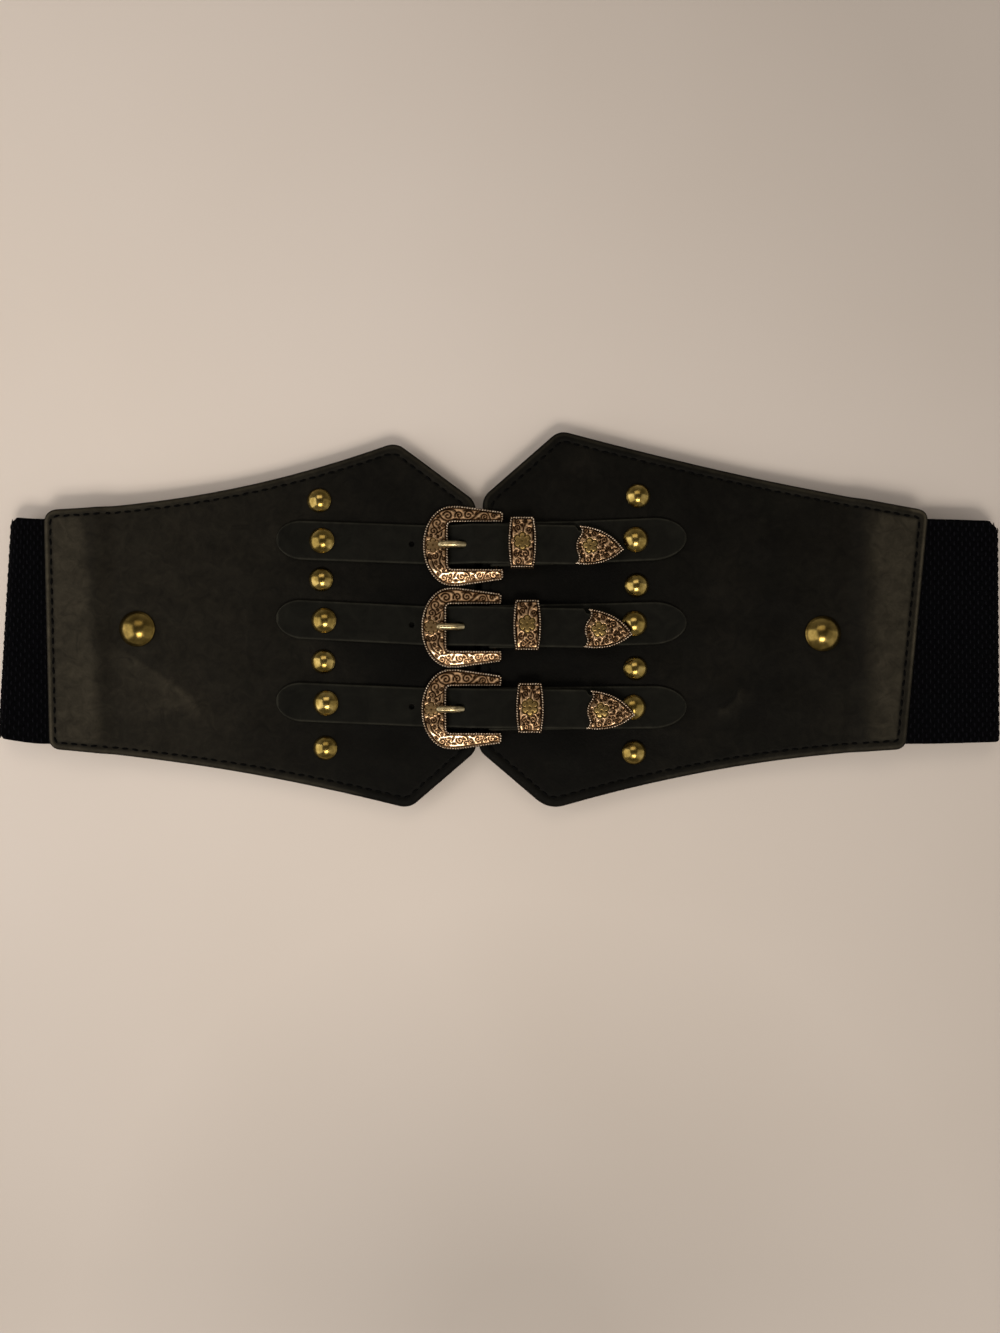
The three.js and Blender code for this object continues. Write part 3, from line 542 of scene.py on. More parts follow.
def longY(row, x):
    slope = np.where(x < row["closedX"], row["longSlope"], row["freeSlope"])
    return row["y"] + row["longShift"] + slope * (x - row["closedX"])


def shortY(row, x):
    return row["middleY"] + row["shortSlope"] * (x - row["barX"])


def bezier(a, b, c, steps):
    t = np.linspace(0, 1, steps + 1)[:, None]
    return (1 - t) ** 2 * a + 2 * t * (1 - t) * b + t ** 2 * c


def panelOutline(panel):
    corners = [(np.array([panel["centreX"] + panel["side"] * a * panel["length"], b * halfHeight]),
                c * halfHeight, d * halfHeight) for a, b, c, d in panel["corners"]]
    following = corners[1:] + corners[:1]
    lines = []
    for (at, ease, bow), (nextAt, nextEase, _) in zip(corners, following):
        middle = (at + nextAt) / 2
        middle[1] -= np.sign(middle[1]) * 2 * bow
        line = bezier(at, middle, nextAt, 200)
        run = lengthAlong(line)[-1]
        lines.append(line[round(ease / run * 200):round((1 - nextEase / run) * 200) + 1])
    points = []
    for line, (at, _, _), nextLine in zip(lines, following, lines[1:] + lines[:1]):
        points += [line, bezier(line[-1], at, nextLine[0], 12)[1:-1]]
    outline = resampled(np.vstack(points), 0.4)
    area = np.sum(outline[:, 0] * np.roll(outline[:, 1], -1) - outline[:, 1] * np.roll(outline[:, 0], -1))
    return outline if area > 0 else outline[::-1]


def backingUnder(panel, x):
    riseEnd = panel["outerX"] - build["sewnIn"] - build["ramp"] - build["slide"]
    rise = smooth((np.abs(x) - build["flatReach"]) / (riseEnd - build["flatReach"]))
    return build["elastic"] + build["centreClear"] + (build["endClear"] - build["centreClear"]) * rise


def faceUnder(panel, x):
    # the leather climbs onto the elastic's sewn end more softly than the solid does
    rampStart = panel["outerX"] - build["sewnIn"] - build["ramp"] - build["slide"] - 4
    bulge = smooth((np.abs(x) - rampStart) / (build["ramp"] + 4))
    return backingUnder(panel, x) + build["backing"] + lay + bulge * (build["elastic"] + lay)


# ---- leather panels

panelLook = {
    "step": 0.9, "rows": [0.25, 0.55, 0.9, 1.3, 1.8, 2.2, 2.6, 3.0, 3.4, 3.8, 4.2, 4.7], "grid": 1.1, "baseGrid": 5,
    "swell": 0.12, "restValue": 0.35,
    "edgeDrop": 0.75, "rimRise": 0.15, "groove": 0.2, "grooveDepth": 3.6,
    "stitchPitch": 3.6, "stitch": (2.6, 0.95, 0.46), "stitchLean": 0.16,
    "waves": [(0.045, 0.021, 0.4), (0.013, 0.052, 1.9), (0.033, -0.041, 3.1)], "waveRise": 0.09,
    # painted shade of the straps darkens the hide as far along and as far up as given here, and a painted highlight
    # along each edge's rolled crest makes it pale, stronger at the outer end
    "cover": 0.8, "coverX": (62, 25), "coverY": (42, 8), "coverLow": (0.4, -40, 10), "rub": 0.3, "outerCrestHighlight": 0.6,
}
backingPlate = {"step": 1.6, "rows": [0.3, 1.0, 3.0], "grid": 5, "baseGrid": 5, "swell": 0.12, "restValue": 0.2}
# creases pressed into the leather: points along each, and how wide, high and pale it is on its right-hand side
marks = {
    "left": [([(-142.2, -4.0), (-133.5, -9.2), (-122.1, -17.2), (-112.2, -24.2), (-109, -29.3), (-112.3, -34.4)],
              7, 0.16, 0.3)],
    "right": [([(79, -27.8), (82.7, -28.5), (87.1, -24.5), (87.8, -19.0)], 3, 0.14, 0.24)],
}


def nearLine(points, line):
    # distance to the right of a broken line, and how far along it the nearest place is
    line = np.array(line, float)
    best, share, sign = np.full(len(points), 1e9), np.zeros(len(points)), np.ones(len(points))
    for i, (a, b) in enumerate(zip(line[:-1], line[1:])):
        t = np.clip(((points - a) @ (b - a)) / ((b - a) @ (b - a)), 0, 1)
        d = np.linalg.norm(points - a - t[:, None] * (b - a), axis=1)
        closer = d < best
        turn = (b - a)[1] * (points - a)[:, 0] - (b - a)[0] * (points - a)[:, 1]
        best[closer], sign[closer] = d[closer], np.sign(turn[closer])
        share[closer] = (i + t[closer]) / (len(line) - 1)
    return best * sign, share


def seamDepth(panel, x):
    # the stitches run closer to the edge at the panel's outer end
    return panelLook["grooveDepth"] + (panel["seam"] - panelLook["grooveDepth"]) * smooth(np.abs(x) / panel["outerX"])


def faceTop(name, panel):
    look = panelLook

    def height(points, depth):
        x, y = points.T
        seam = seamDepth(panel, x)
        z = faceUnder(panel, x) + build["face"]
        z = z - look["edgeDrop"] * np.exp(-depth / 0.6)
        z = z + look["rimRise"] * np.sin(np.pi * np.clip(depth / seam, 0, 1))
        z = z - look["groove"] * np.exp(-((depth - seam) / 0.5) ** 2)
        inner = smooth((depth - 5) / 12)
        for a, b, phase in look["waves"]:
            z = z + look["waveRise"] * inner * np.sin(2 * np.pi * (a * x + b * y) + phase)
        # painted sheen: the band over the elastic's sewn end is painted paler, as if it caught the light
        edge, slant, bandSheen, soft = panel["band"]
        band = smooth((np.abs(x) - edge - slant * y + soft / 2) / soft) * smooth((depth - seam) / 1.5)
        wear = panel["wear"][0] + panel["wear"][1] * smooth((np.abs(x) - 40) / 100) + bandSheen * band
        # painted shade where the straps lie over the hide and between them
        (reachX, softX), (reachY, softY), (less, lowY, softLow) = look["coverX"], look["coverY"], look["coverLow"]
        covered = smooth((reachX - np.abs(x)) / softX) * smooth((reachY - y) / softY)
        wear = wear - look["cover"] * covered * (1 - less * smooth((lowY - y) / softLow))
        # painted highlight along the rolled edge's crest, stronger at the outer end
        outer = smooth((np.abs(x) - panel["outerX"] + 6) / 4)
        wear = wear + (look["rub"] + look["outerCrestHighlight"] * outer) * np.exp(-((depth - 1.0) / 0.45) ** 2)
        wear = wear + 0.08 * smooth((seam - depth) / 0.8)
        for line, width, rise, pale in marks[name]:
            off, share = nearLine(points, line)
            fade = smooth(np.minimum(share, 1 - share) * 4)
            ridgeHere = smooth((off + 0.9) / 1.8) * np.exp(-np.maximum(off, 0) / width) * fade
            z = z + rise * ridgeHere
            wear = wear + pale * ridgeHere
        return z, {"wear": np.clip(wear, -1, 1)}
    return height


for name, panel in panels.items():
    outline = panelOutline(panel)
    plate = reliefPlate(outline, panelLook, faceTop(name, panel), lambda p, q=panel: faceUnder(q, p[:, 0]))
    makePiece(f"panel_face_{name}", plate, "face", "face_leather", f"face_{name}")

    def backingTop(p, depth, q=panel):
        z = backingUnder(q, p[:, 0]) + build["backing"] - 0.2 * np.exp(-depth / 0.4)
        return z, {"wear": np.exp(-depth / 1.2) * 0.5}
    plate = reliefPlate(outline, backingPlate, backingTop, lambda p, q=panel: backingUnder(q, p[:, 0]))
    makePiece(f"panel_backing_{name}", plate, "backing", "backing_leather", f"backing_{name}")

    seam = resampled(outline, 0.4)
    seam = resampled(seam + inwards(seam) * seamDepth(panel, seam[:, :1]), panelLook["stitchPitch"])
    heading = headings(seam)
    seamZ, _ = faceTop(name, panel)(seam, seamDepth(panel, seam[:, 0]))
    places = np.column_stack([seam, seamZ + 0.1])
    lean = panelLook["stitchLean"] * np.sin(np.arange(len(seam)) * 2.4)[:, None]
    heading = heading + lean * heading[:, ::-1] * [-1, 1]
    alongs = np.column_stack([heading, np.zeros(len(seam))])
    normals = np.tile([0, 0, 1], (len(seam), 1))
    repeated(f"panel_stitches_{name}", beadTree, places, alongs, normals, panelLook["stitch"], "thread",
             "face_leather")
    print("panel", name, "made")


# ---- elastic band

# lift is how far the band leans across, and corner how far its upper and lower corners draw in, at each fold
band = {"half": 41, "neck": 0.015, "lift": {"left": 1.2, "right": 0}, "across": 12,
        "corner": {"left": (1.6, 1.6), "right": (2.6, 0.6)},
        "ribAlong": 1.45, "ribAcross": 3.6, "rib": (0.8, 2.3, 0.5)}


def bandPath(depth):
    # the band's run from inside the left panel, round under the belt, to inside the right one
    foldHeight = 2 * build["elastic"] + build["endClear"] + build["backing"] + lay
    radius = foldHeight / 2
    halves = []
    for panel in panels.values():
        side, outer = panel["side"], panel["outerX"]
        foldX = outer + panel["beyond"] - radius
        flat = np.linspace(outer - build["sewnIn"], foldX, 20)
        run = [(side * x, foldHeight - depth) for x in flat]
        for angle in np.linspace(math.pi / 2, -math.pi / 2, 17)[1:]:
            reach = radius - depth
            run.append((side * (foldX + reach * math.cos(angle)), radius + reach * math.sin(angle)))
        run += [(side * x, depth) for x in np.linspace(foldX, 5, 40)[1:]]
        halves.append(run)
    return np.array(halves[0] + halves[1][::-1])


def bandWarp(points):
    points = np.array(points, float)
    for side, panel in panels.items():
        mine = np.sign(points[:, 0]) == panel["side"]
        share = smooth((np.abs(points[:, 0]) - panel["outerX"]) / panel["beyond"]) * mine
        points[:, 0] += panel["slant"] * points[:, 1] * share
        upper, lower = band["corner"][side]
        ease = np.where(points[:, 1] > 0, upper, lower)
        edge = smooth((np.abs(points[:, 1]) - band["half"] + 1.6 * ease) / (1.6 * ease))
        points[:, 0] -= panel["side"] * ease * share ** 3 * edge ** 2
        points[:, 1] = points[:, 1] * (1 - band["neck"] * share) + band["lift"][side] * share
    return points


outer, inner = bandPath(0), bandPath(build["elastic"])
selvedge = np.array([0.96, 0.975, 0.99, 1])
across = band["half"] * np.concatenate([-selvedge[::-1], np.linspace(-0.94, 0.94, band["across"] + 1), selvedge])
points, faces = lofted([[(ox, y, oz) for y in across] + [(ix, y, iz) for y in across[::-1]]
                        for (ox, oz), (ix, iz) in zip(outer, inner)])
elasticBand = makePiece("elastic_weave", (bandWarp(points), faces), "elastic", "elastic", "elastic_band")
elasticFlat = lengthAlong(bandPath(build["elastic"] / 2))[-1]

run = lengthAlong(outer)
places, alongs, normals = [], [], []
stations = np.arange(band["ribAlong"], run[-1] - band["ribAlong"], band["ribAlong"])
for i, station in enumerate(stations):
    (x, nextX), (z, nextZ) = (np.interp((station, station + 0.3), run, values) for values in outer.T)
    dx, dz = nextX - x, nextZ - z
    start = band["ribAcross"] * (0.5 if i % 2 else 0) - band["half"] + 1.3
    for y in np.arange(start, band["half"] - 1.2, band["ribAcross"]):
        places.append((x, y, z))
        alongs.append((dx, 0, dz))
        normals.append((dz, 0, -dx))
places = bandWarp(places)
print("ribs:", len(places))
ribs = repeated("elastic_ribs", ribTree, places, alongs, normals, band["rib"], "rib", "elastic")
print("elastic made")


# ---- straps

straps = {"spareX": -31.8, "holeRadius": 1, "prongHole": (1.9, 1.35), "slot": 1.8, "slotFromBar": 2.6, "station": 0.8,
          "longColumns": [0, 0.35, 0.7, 1, 1.35, 2, 2.7, 3.8, 5], "shortColumns": [0, 0.6, 1.2, 1.8, 2.7, 3.8, 5],
          "fromEdge": (1.3, 0.9, 0.6, 0.38, 0.2, 0.08, 0), "edgeRise": 0.34, "edgeLine": 0.35, "ease": 1.2,
          "turnedBack": 6, "tongue": 5.3}


def easedLine(knots):
    # a broken line with each inner knot rounded over the same reach
    knots, ease = np.array(knots, float), straps["ease"]
    line = [knots[:1]]
    for before, at, after in zip(knots[:-2], knots[1:-1], knots[2:]):
        a, b = before - at, after - at
        a, b = a * min(ease / np.linalg.norm(a), 0.45), b * min(ease / np.linalg.norm(b), 0.45)
        line.append(bezier(at + a, at, at + b, 8))
    return np.vstack(line + [knots[-1:]])


def gridSlab(top, under, keep):
    # two grids of points, with a wall wherever a kept cell has no kept neighbour
    count = top.shape[0] * top.shape[1]
    index = np.arange(count).reshape(top.shape[:2])
    faces = []
    for i, k in zip(*np.nonzero(keep)):
        a, b, c, d = index[i, k], index[i + 1, k], index[i + 1, k + 1], index[i, k + 1]
        faces += [(a, b, c, d), (d + count, c + count, b + count, a + count)]
        for (di, dk), (p, q) in {(-1, 0): (d, a), (1, 0): (b, c), (0, -1): (a, b), (0, 1): (c, d)}.items():
            ni, nk = i + di, k + dk
            if not (0 <= ni < keep.shape[0] and 0 <= nk < keep.shape[1] and keep[ni, nk]):
                faces.append((q, p, p + count, q + count))
    points = np.vstack([top.reshape(-1, 3), under.reshape(-1, 3)])
    used = np.unique(np.array([i for f in faces for i in f]))
    fresh = np.full(len(points), -1)
    fresh[used] = np.arange(len(used))
    return points[used], [tuple(fresh[list(f)]) for f in faces], used % count


def holedGrid(run, offsets, holes):
    # opens the grid's lines round each hole, so that its wall is an ellipse
    along, across = np.meshgrid(run, offsets, indexing="ij")
    keep = np.ones((len(run) - 1, len(offsets) - 1), bool)
    for x, rx, ry in holes:
        u, v = (along - x) / rx, across / ry
        reach = np.maximum(np.abs(u), np.abs(v))
        share = np.clip(2 - reach, 0, 1)
        su, sv = np.clip(u, -1, 1), np.clip(v, -1, 1)
        along = along + share * rx * su * (np.sqrt(1 - sv ** 2 / 2) - 1)
        across = across + share * ry * sv * (np.sqrt(1 - su ** 2 / 2) - 1)
        middle = (reach[:-1, :-1] + reach[1:, 1:] + reach[1:, :-1] + reach[:-1, 1:]) / 4
        keep &= middle > 0.99
    return along, across, keep


def strapStrip(line, halfAt, centreAt, columns, holes=(), slots=()):
    # line is the strap's underside seen from the side; holes and slots are measured along it
    length = lengthAlong(line)
    at = lambda r, values: np.interp(r, length, values)
    end = length[-1]
    run = [*np.arange(0.4, end - 0.3, straps["station"]), 0, 0.05, 0.2, end, end - 0.05, end - 0.2]
    for x, rx, ry in holes:
        run = [r for r in run if abs(r - x) > 2.1 * rx] + [x + rx * k / 4 for k in range(-8, 9)]
    for low, high in slots:
        run = [r for r in run if min(abs(r - low), abs(r - high)) > 0.2] + [low, high]
    run = np.unique(np.clip(run, 0, end))
    widest = max(halfAt(at(r, line[:, 0]), r) for r in run)
    positive = columns + [widest - e for e in straps["fromEdge"]]
    offsets = np.array([-v for v in positive[:0:-1]] + positive)
    along, across, keep = holedGrid(run, offsets, holes)
    for low, high in slots:
        inSlot = (run[:-1] >= low - 0.01) & (run[1:] <= high + 0.01)
        narrow = np.abs(offsets) <= straps["slot"]
        keep[np.ix_(inSlot, narrow[:-1] & narrow[1:])] = False
    x, z = at(along, line[:, 0]), at(along, line[:, 1])
    ahead = np.stack([at(along + 0.15, line[:, 0]) - at(along - 0.15, line[:, 0]),
                      at(along + 0.15, line[:, 1]) - at(along - 0.15, line[:, 1])], axis=-1)
    ahead /= np.linalg.norm(ahead, axis=-1, keepdims=True)
    half = np.array([[halfAt(a, r) for a, r in zip(xs, rs)] for xs, rs in zip(x, along)])
    side = across * half / widest
    inset = np.minimum(half - np.abs(side), np.minimum(along, end - along))
    drop = straps["edgeRise"] * np.clip(1 - inset / 0.55, 0, 1) ** 2
    rise = (strap - drop)[..., None]
    lift = np.stack([-ahead[..., 1], np.zeros_like(x), ahead[..., 0]], axis=-1)
    base = np.stack([x, centreAt(x) + side, z], axis=-1)
    points, faces, used = gridSlab(base + lift * rise, base + lift * drop[..., None], keep)
    # a pale line along each edge, partly its own edge finish and partly painted sheen
    wear = 0.12 + 0.6 * np.exp(-((inset - straps["edgeLine"]) / 0.3) ** 2)
    return points, faces, {"wear": wear.reshape(-1)[used]}


def roundEnd(distance, depth, half):
    share = np.clip(1 - distance / depth, 0, 1)
    return max(half * math.sqrt(1 - share ** 2), 0.35)


for name, row in rows.items():
    half, foot, bar = build["longWidth"] / 2, row["innerX"] - build["slide"], row["barX"]
    keeperLeft, keeperRight = row["keeperEnds"]
    overBar = barZ + build["loop"] + strap + lay
    line = easedLine([(-build["longReach"], strapZ), (foot, strapZ), (foot + (bar - foot) * 0.52, overBar),
                      (bar + build["bar"], overBar), (keeperLeft, keeperZ), (keeperRight, keeperZ),
                      (row["tipX"], row["tipZ"]), (row["tipX"] + 5, row["tipZ"])])

    def longHalf(x, run, row=row, half=half):
        shoulder = smooth((x - row["tipX"] + 0.9) / 1.2)
        return roundEnd(x + build["longReach"], build["longEnd"], half) * (1 - shoulder) + straps["tongue"] * shoulder
    spare, pierced = np.interp((straps["spareX"], row["buckleX"] + 0.1), line[:, 0], lengthAlong(line))
    holes = [(spare, straps["holeRadius"], straps["holeRadius"]), (pierced, *straps["prongHole"])]
    strip = strapStrip(line, longHalf, lambda x, row=row: longY(row, x), straps["longColumns"], holes)
    makePiece(f"leather_long_strap_{name}", strip, "strap", "strap_leather", f"long_strap_{name}")

    # the short strap: its turned end under itself, then the turn round the bar, then its upper run
    half, loop, turnedEnd = build["shortWidth"] / 2, build["loop"], keeperRight + straps["turnedBack"]
    mainZ = keeperZ - strap - lay
    under = easedLine([(turnedEnd, strapZ), (keeperRight + 3, strapZ), (keeperRight, mainZ - strap - lay),
                       (keeperLeft, mainZ - strap - lay), (bar, barZ - loop - strap)])
    under = under + [0, strap]  # it runs back face down, so its line lies on the other face
    bend = [(bar + loop * math.cos(a), barZ + loop * math.sin(a))
            for a in np.linspace(-math.pi / 2, -3 * math.pi / 2, 15)]
    over = easedLine([(bar, barZ + loop), (keeperLeft, mainZ), (keeperRight, mainZ), (keeperRight + 3, frameZ),
                      (turnedEnd + build["slide"], frameZ), (turnedEnd + 5.3, strapZ), (build["shortReach"], strapZ)])
    line = np.vstack([under[:-1], bend, over[1:]])
    length = lengthAlong(line)
    slotLow = np.interp(-(bar + straps["slotFromBar"]), -under[:, 0], length[:len(under)])
    slotHigh = length[len(under) + len(bend) - 2] + straps["slotFromBar"]

    def shortHalf(x, run, half=half, total=length[-1]):
        return roundEnd(total - run, build["shortEnd"], half)
    strip = strapStrip(line, shortHalf, lambda x, row=row: shortY(row, x), straps["shortColumns"],
                       slots=[(slotLow, slotHigh)])
    makePiece(f"leather_short_strap_{name}", strip, "strap", "strap_leather", f"short_strap_{name}")
print("straps made")


# ---- ornament for the engraved metal

ornament = {
    # a cut reaches this share of its stroke's width to each side, and its wall comes up over the slope
    "cutShare": 0.66, "cutSlope": 0.5,
    # a bare place gets a scroll from this much room on
    "fillGrid": 0.45, "fillRoom": 0.8, "fillGap": 0.35, "fillLargest": 1.2,
    # the rope runs this far inside the edge, with its strands at a slant in degrees
    "ropeIn": 0.4, "ropeSlant": 28,
}
# what keepers and tips share: plate is how finely a top is divided; in each piece, dome is its rise, how far in it
# reaches, and its power
smallPiece = {
    "plate": {"step": 0.3, "rows": [0.12, 0.3, 0.5, 0.7, 0.85, 1.0, 1.2], "grid": 0.2, "baseGrid": 1.2,
              "swell": 0.03, "restValue": 0.4},
    "thick": 0.65, "rimRise": 0.1, "rimSlope": 0.2, "edgeDrop": 0.3, "edgeRound": 0.15,
    "bead": (0.82, 0.62, 0.58), "beadPitch": 0.92, "ropeZ": 0.72, "lowerArmHighlight": 0, "gold": 1,
}


def spiral(x, y, radius, start, hand, turns=1.3, width=0.34):
    share = np.linspace(0, 1, 36)
    angle = math.radians(start) + hand * 2 * math.pi * turns * share
    reach = radius * (1 - 0.82 * share)
    widths = width * (1 - 0.35 * share)
    widths[-4:] = width * 1.05
    return np.column_stack([x + reach * np.cos(angle), y + reach * np.sin(angle), widths])


def vine(knots, width, tip):
    # a smooth stem through a few points, thinning towards its tip
    knots = np.array(knots, float)
    share = np.linspace(0, len(knots) - 1, 14 * len(knots))
    line = []
    for t in share:
        i = min(int(t), len(knots) - 2)
        f = t - i
        a, b, c, d = knots[max(i - 1, 0)], knots[i], knots[i + 1], knots[min(i + 2, len(knots) - 1)]
        bend, twist = 2 * a - 5 * b + 4 * c - d, 3 * b - a - 3 * c + d
        line.append(0.5 * (2 * b + (c - a) * f + bend * f * f + twist * f ** 3))
    return np.column_stack([line, np.linspace(width, tip, len(line))])


def leaf(x, y, angle, length, width):
    share = np.linspace(0, 1, 12)
    turn = math.radians(angle)
    widths = 0.85 * width * np.sin(np.pi * (0.12 + 0.83 * share)) + 0.05
    return np.column_stack([x + length * share * math.cos(turn), y + length * share * math.sin(turn), widths])


def ridges(points, strokes):
    # the plate's height between the cut strokes, and how polished each place is: black in the cuts
    samples = np.vstack(strokes)
    gap = np.full(len(points), 9.0)
    for first in range(0, len(points), 2000):
        away = np.linalg.norm(points[first:first + 2000, None] - samples[None, :, :2], axis=2)
        gap[first:first + 2000] = (away - ornament["cutShare"] * samples[:, 2]).min(axis=1)
    height = smooth(gap / ornament["cutSlope"])
    return height, (0.5 + 0.3 * height) * (1 - 0.98 * (1 - smooth((gap + 0.08) / 0.2)))


def blossom(points, x, y, radius, petals, start=90):
    # a flat flower cut in outline: gives height, polish and where the flower is
    u, v = (points - np.array([x, y])).T
    away = np.hypot(u, v) / radius
    turn = (np.arctan2(v, u) - math.radians(start)) * petals / (2 * math.pi)
    off = np.abs(turn - np.round(turn)) * 2
    edge = 0.66 + 0.34 * np.sqrt(np.clip(1 - off ** 2, 0, 1))
    height = 0.7 * np.sqrt(np.clip(1 - (away / edge) ** 4, 0, 1))
    between = smooth((off - 0.7) / 0.2) * smooth((away - 0.45) / 0.15)
    outline = np.exp(-((away - edge - 0.02) / 0.08) ** 2)
    heart = np.exp(-(away / 0.15) ** 2)
    dark = np.clip(between + outline + heart, 0, 1)
    return height * (1 - 0.6 * dark), 0.62 * (1 - 0.96 * dark), (away < edge + 0.12).astype(float)


def filled(strokes, flower, outline, rim):
    # adds small scrolls wherever the strokes leave a bare place
    spots = gridInside(resampled(outline, 0.5), ornament["fillGrid"], rim + 1.0)
    strokes, hand = list(strokes), 1
    away = np.linalg.norm(spots - np.array(flower[:2]), axis=1) - flower[2]
    while len(spots):
        samples = np.vstack(strokes)
        room = np.linalg.norm(spots[:, None] - samples[None, :, :2], axis=2).min(axis=1)
        room = np.minimum(room, away)
        best = int(np.argmax(room))
        if room[best] < ornament["fillRoom"]:
            break
        radius = min(room[best] - ornament["fillGap"], ornament["fillLargest"])
        strokes.append(spiral(*spots[best], radius, 97 * len(strokes), hand, 0.9, 0.3))
        hand = -hand
    return strokes


def engraved(points, depth, strokes, flower, rim):
    # the strokes with a flower among them, inside a rim
    height, polish = ridges(points, strokes)
    petals, petalPolish, bloom = blossom(points, *flower)
    height, polish = np.where(bloom > 0, petals, height), np.where(bloom > 0, petalPolish, polish)
    inside = depth > rim + 0.25
    line = np.exp(-((depth - rim - 0.2) / 0.25) ** 2)
    polish = np.where(depth < rim, 0.12, polish) * (1 - 0.96 * line)
    return height * inside, np.clip(polish, 0, 1), 0.75 * bloom * inside


def fitMetal(names, look, outline, base, form, under, shell, move):
    # an engraved plate joined to its plain part, and a twisted cord along its edge; form is how it curves across
    strokes = filled(look["strokes"], look["flower"], outline, look["rim"])

    def top(points, depth):
        height, polish, bloom = engraved(points, depth, strokes, look["flower"], look["rim"])
        rim = look["rimRise"] * smooth((look["rim"] - depth) / look["rimSlope"])
        rise, reach, power = look["dome"]
        z = base + look["thick"] + rise * np.clip(depth / reach, 0, 1) ** power + look["rise"] * height + rim
        z = z - look["edgeDrop"] * np.exp(-depth / look["edgeRound"]) + form(points[:, 1])
        # painted highlight: the lower side is made brighter, as if it caught the lamps
        rubbed = 1 + look["lowerArmHighlight"] * smooth((-points[:, 1] - 6) / 4)
        return z, {"relief": np.clip(polish * look["polish"] * rubbed, 0, 1), "bloom": bloom * look["gold"]}

    pieceName, ropeName, node = names
    points, faces, values = reliefPlate(outline, look["plate"], top, under)
    points, faces = joined((points, faces), shell)
    values = lengthened(values, len(shell[0]), {"relief": look["plainPolish"], "bloom": 0})
    makePiece(pieceName, (move(points), faces, values), "engraved", "engraved_metal", node)
    line = resampled(outline, 0.2)
    line = resampled(line + inwards(line) * ornament["ropeIn"], look["beadPitch"])
    slant = math.radians(ornament["ropeSlant"])
    strand = headings(line) @ np.array([[math.cos(slant), math.sin(slant)], [-math.sin(slant), math.cos(slant)]])
    height = base + look["ropeZ"] + form(line[:, 1])
    places = move(np.column_stack([line, height]))
    ahead = move(np.column_stack([line + strand * 0.1, height])) - places
    normals = np.tile([0, 0, 1], (len(line), 1))
    repeated(ropeName, beadTree, places, ahead, normals, look["bead"], "rope", "engraved_metal")


def shifted(x, y):
    return lambda points: points + np.array([x, y, 0])


# ---- buckle frames

buckle = {
    "plate": {"step": 0.3, "rows": [0.12, 0.3, 0.5, 0.7, 0.88, 1.05, 1.22, 1.4], "grid": 0.2, "baseGrid": 1.4,
              "swell": 0.05, "restValue": 0.3},
    "arm": 6.3, "armTip": 4.0, "open": 16.8, "round": 10.5, "innerEase": 1.6, "tipEase": 1.1, "barRadius": 0.9,
    "thick": 1.25, "dome": (0.2, 3.4, 0.5), "rise": 0.13, "rim": 0.8, "rimRise": 0.12, "rimSlope": 0.25,
    "edgeDrop": 0.4, "edgeRound": 0.2, "arch": (0.3, 8.2, 1.5), "droop": (1.45, 8.4, 6.3),
    "bead": (0.84, 0.68, 0.64), "beadPitch": 0.94, "ropeZ": 1.35, "flower": (3.7, 0.1, 2.5, 6),
    # the lower arm has a painted highlight, the flower is barely golden, and the plain bar is painted black as
    # painted shade
    "polish": 1, "lowerArmHighlight": 0.2, "gold": 0.45, "plainPolish": 0,
}


def cornered(points, eases, steps=6):
    # rounds the corners of a closed polygon, each over its own reach
    made = []
    for i, (at, ease) in enumerate(zip(points, eases)):
        at = np.array(at, float)
        if not ease:
            made.append(at[None])
            continue
        before, after = np.array(points[i - 1]) - at, np.array(points[(i + 1) % len(points)]) - at
        a = at + before / np.linalg.norm(before) * ease
        b = at + after / np.linalg.norm(after) * ease
        made.append(bezier(a, at, b, steps))
    return np.vstack(made)


def frameOutline():
    # local axes: x from the closed side's outer edge, y from the row's centre
    half, gap = buckle["open"] / 2 + buckle["arm"], buckle["open"] / 2
    length, inner, r = 2 * build["frameHalf"], build["closedSide"], buckle["round"]
    arc = [(r - r * math.sin(t), half * math.cos(t)) for t in np.linspace(0, math.pi, 41)]
    rest = [(r * 1.25, -half), (length, -gap - buckle["armTip"]), (length, -gap), (inner, -gap), (inner, gap),
            (length, gap), (length, gap + buckle["armTip"]), (r * 1.25, half)]
    eases = [0, buckle["tipEase"], buckle["tipEase"] * 0.6, buckle["innerEase"]]
    return cornered(arc + rest, [0] * len(arc) + eases + eases[::-1])


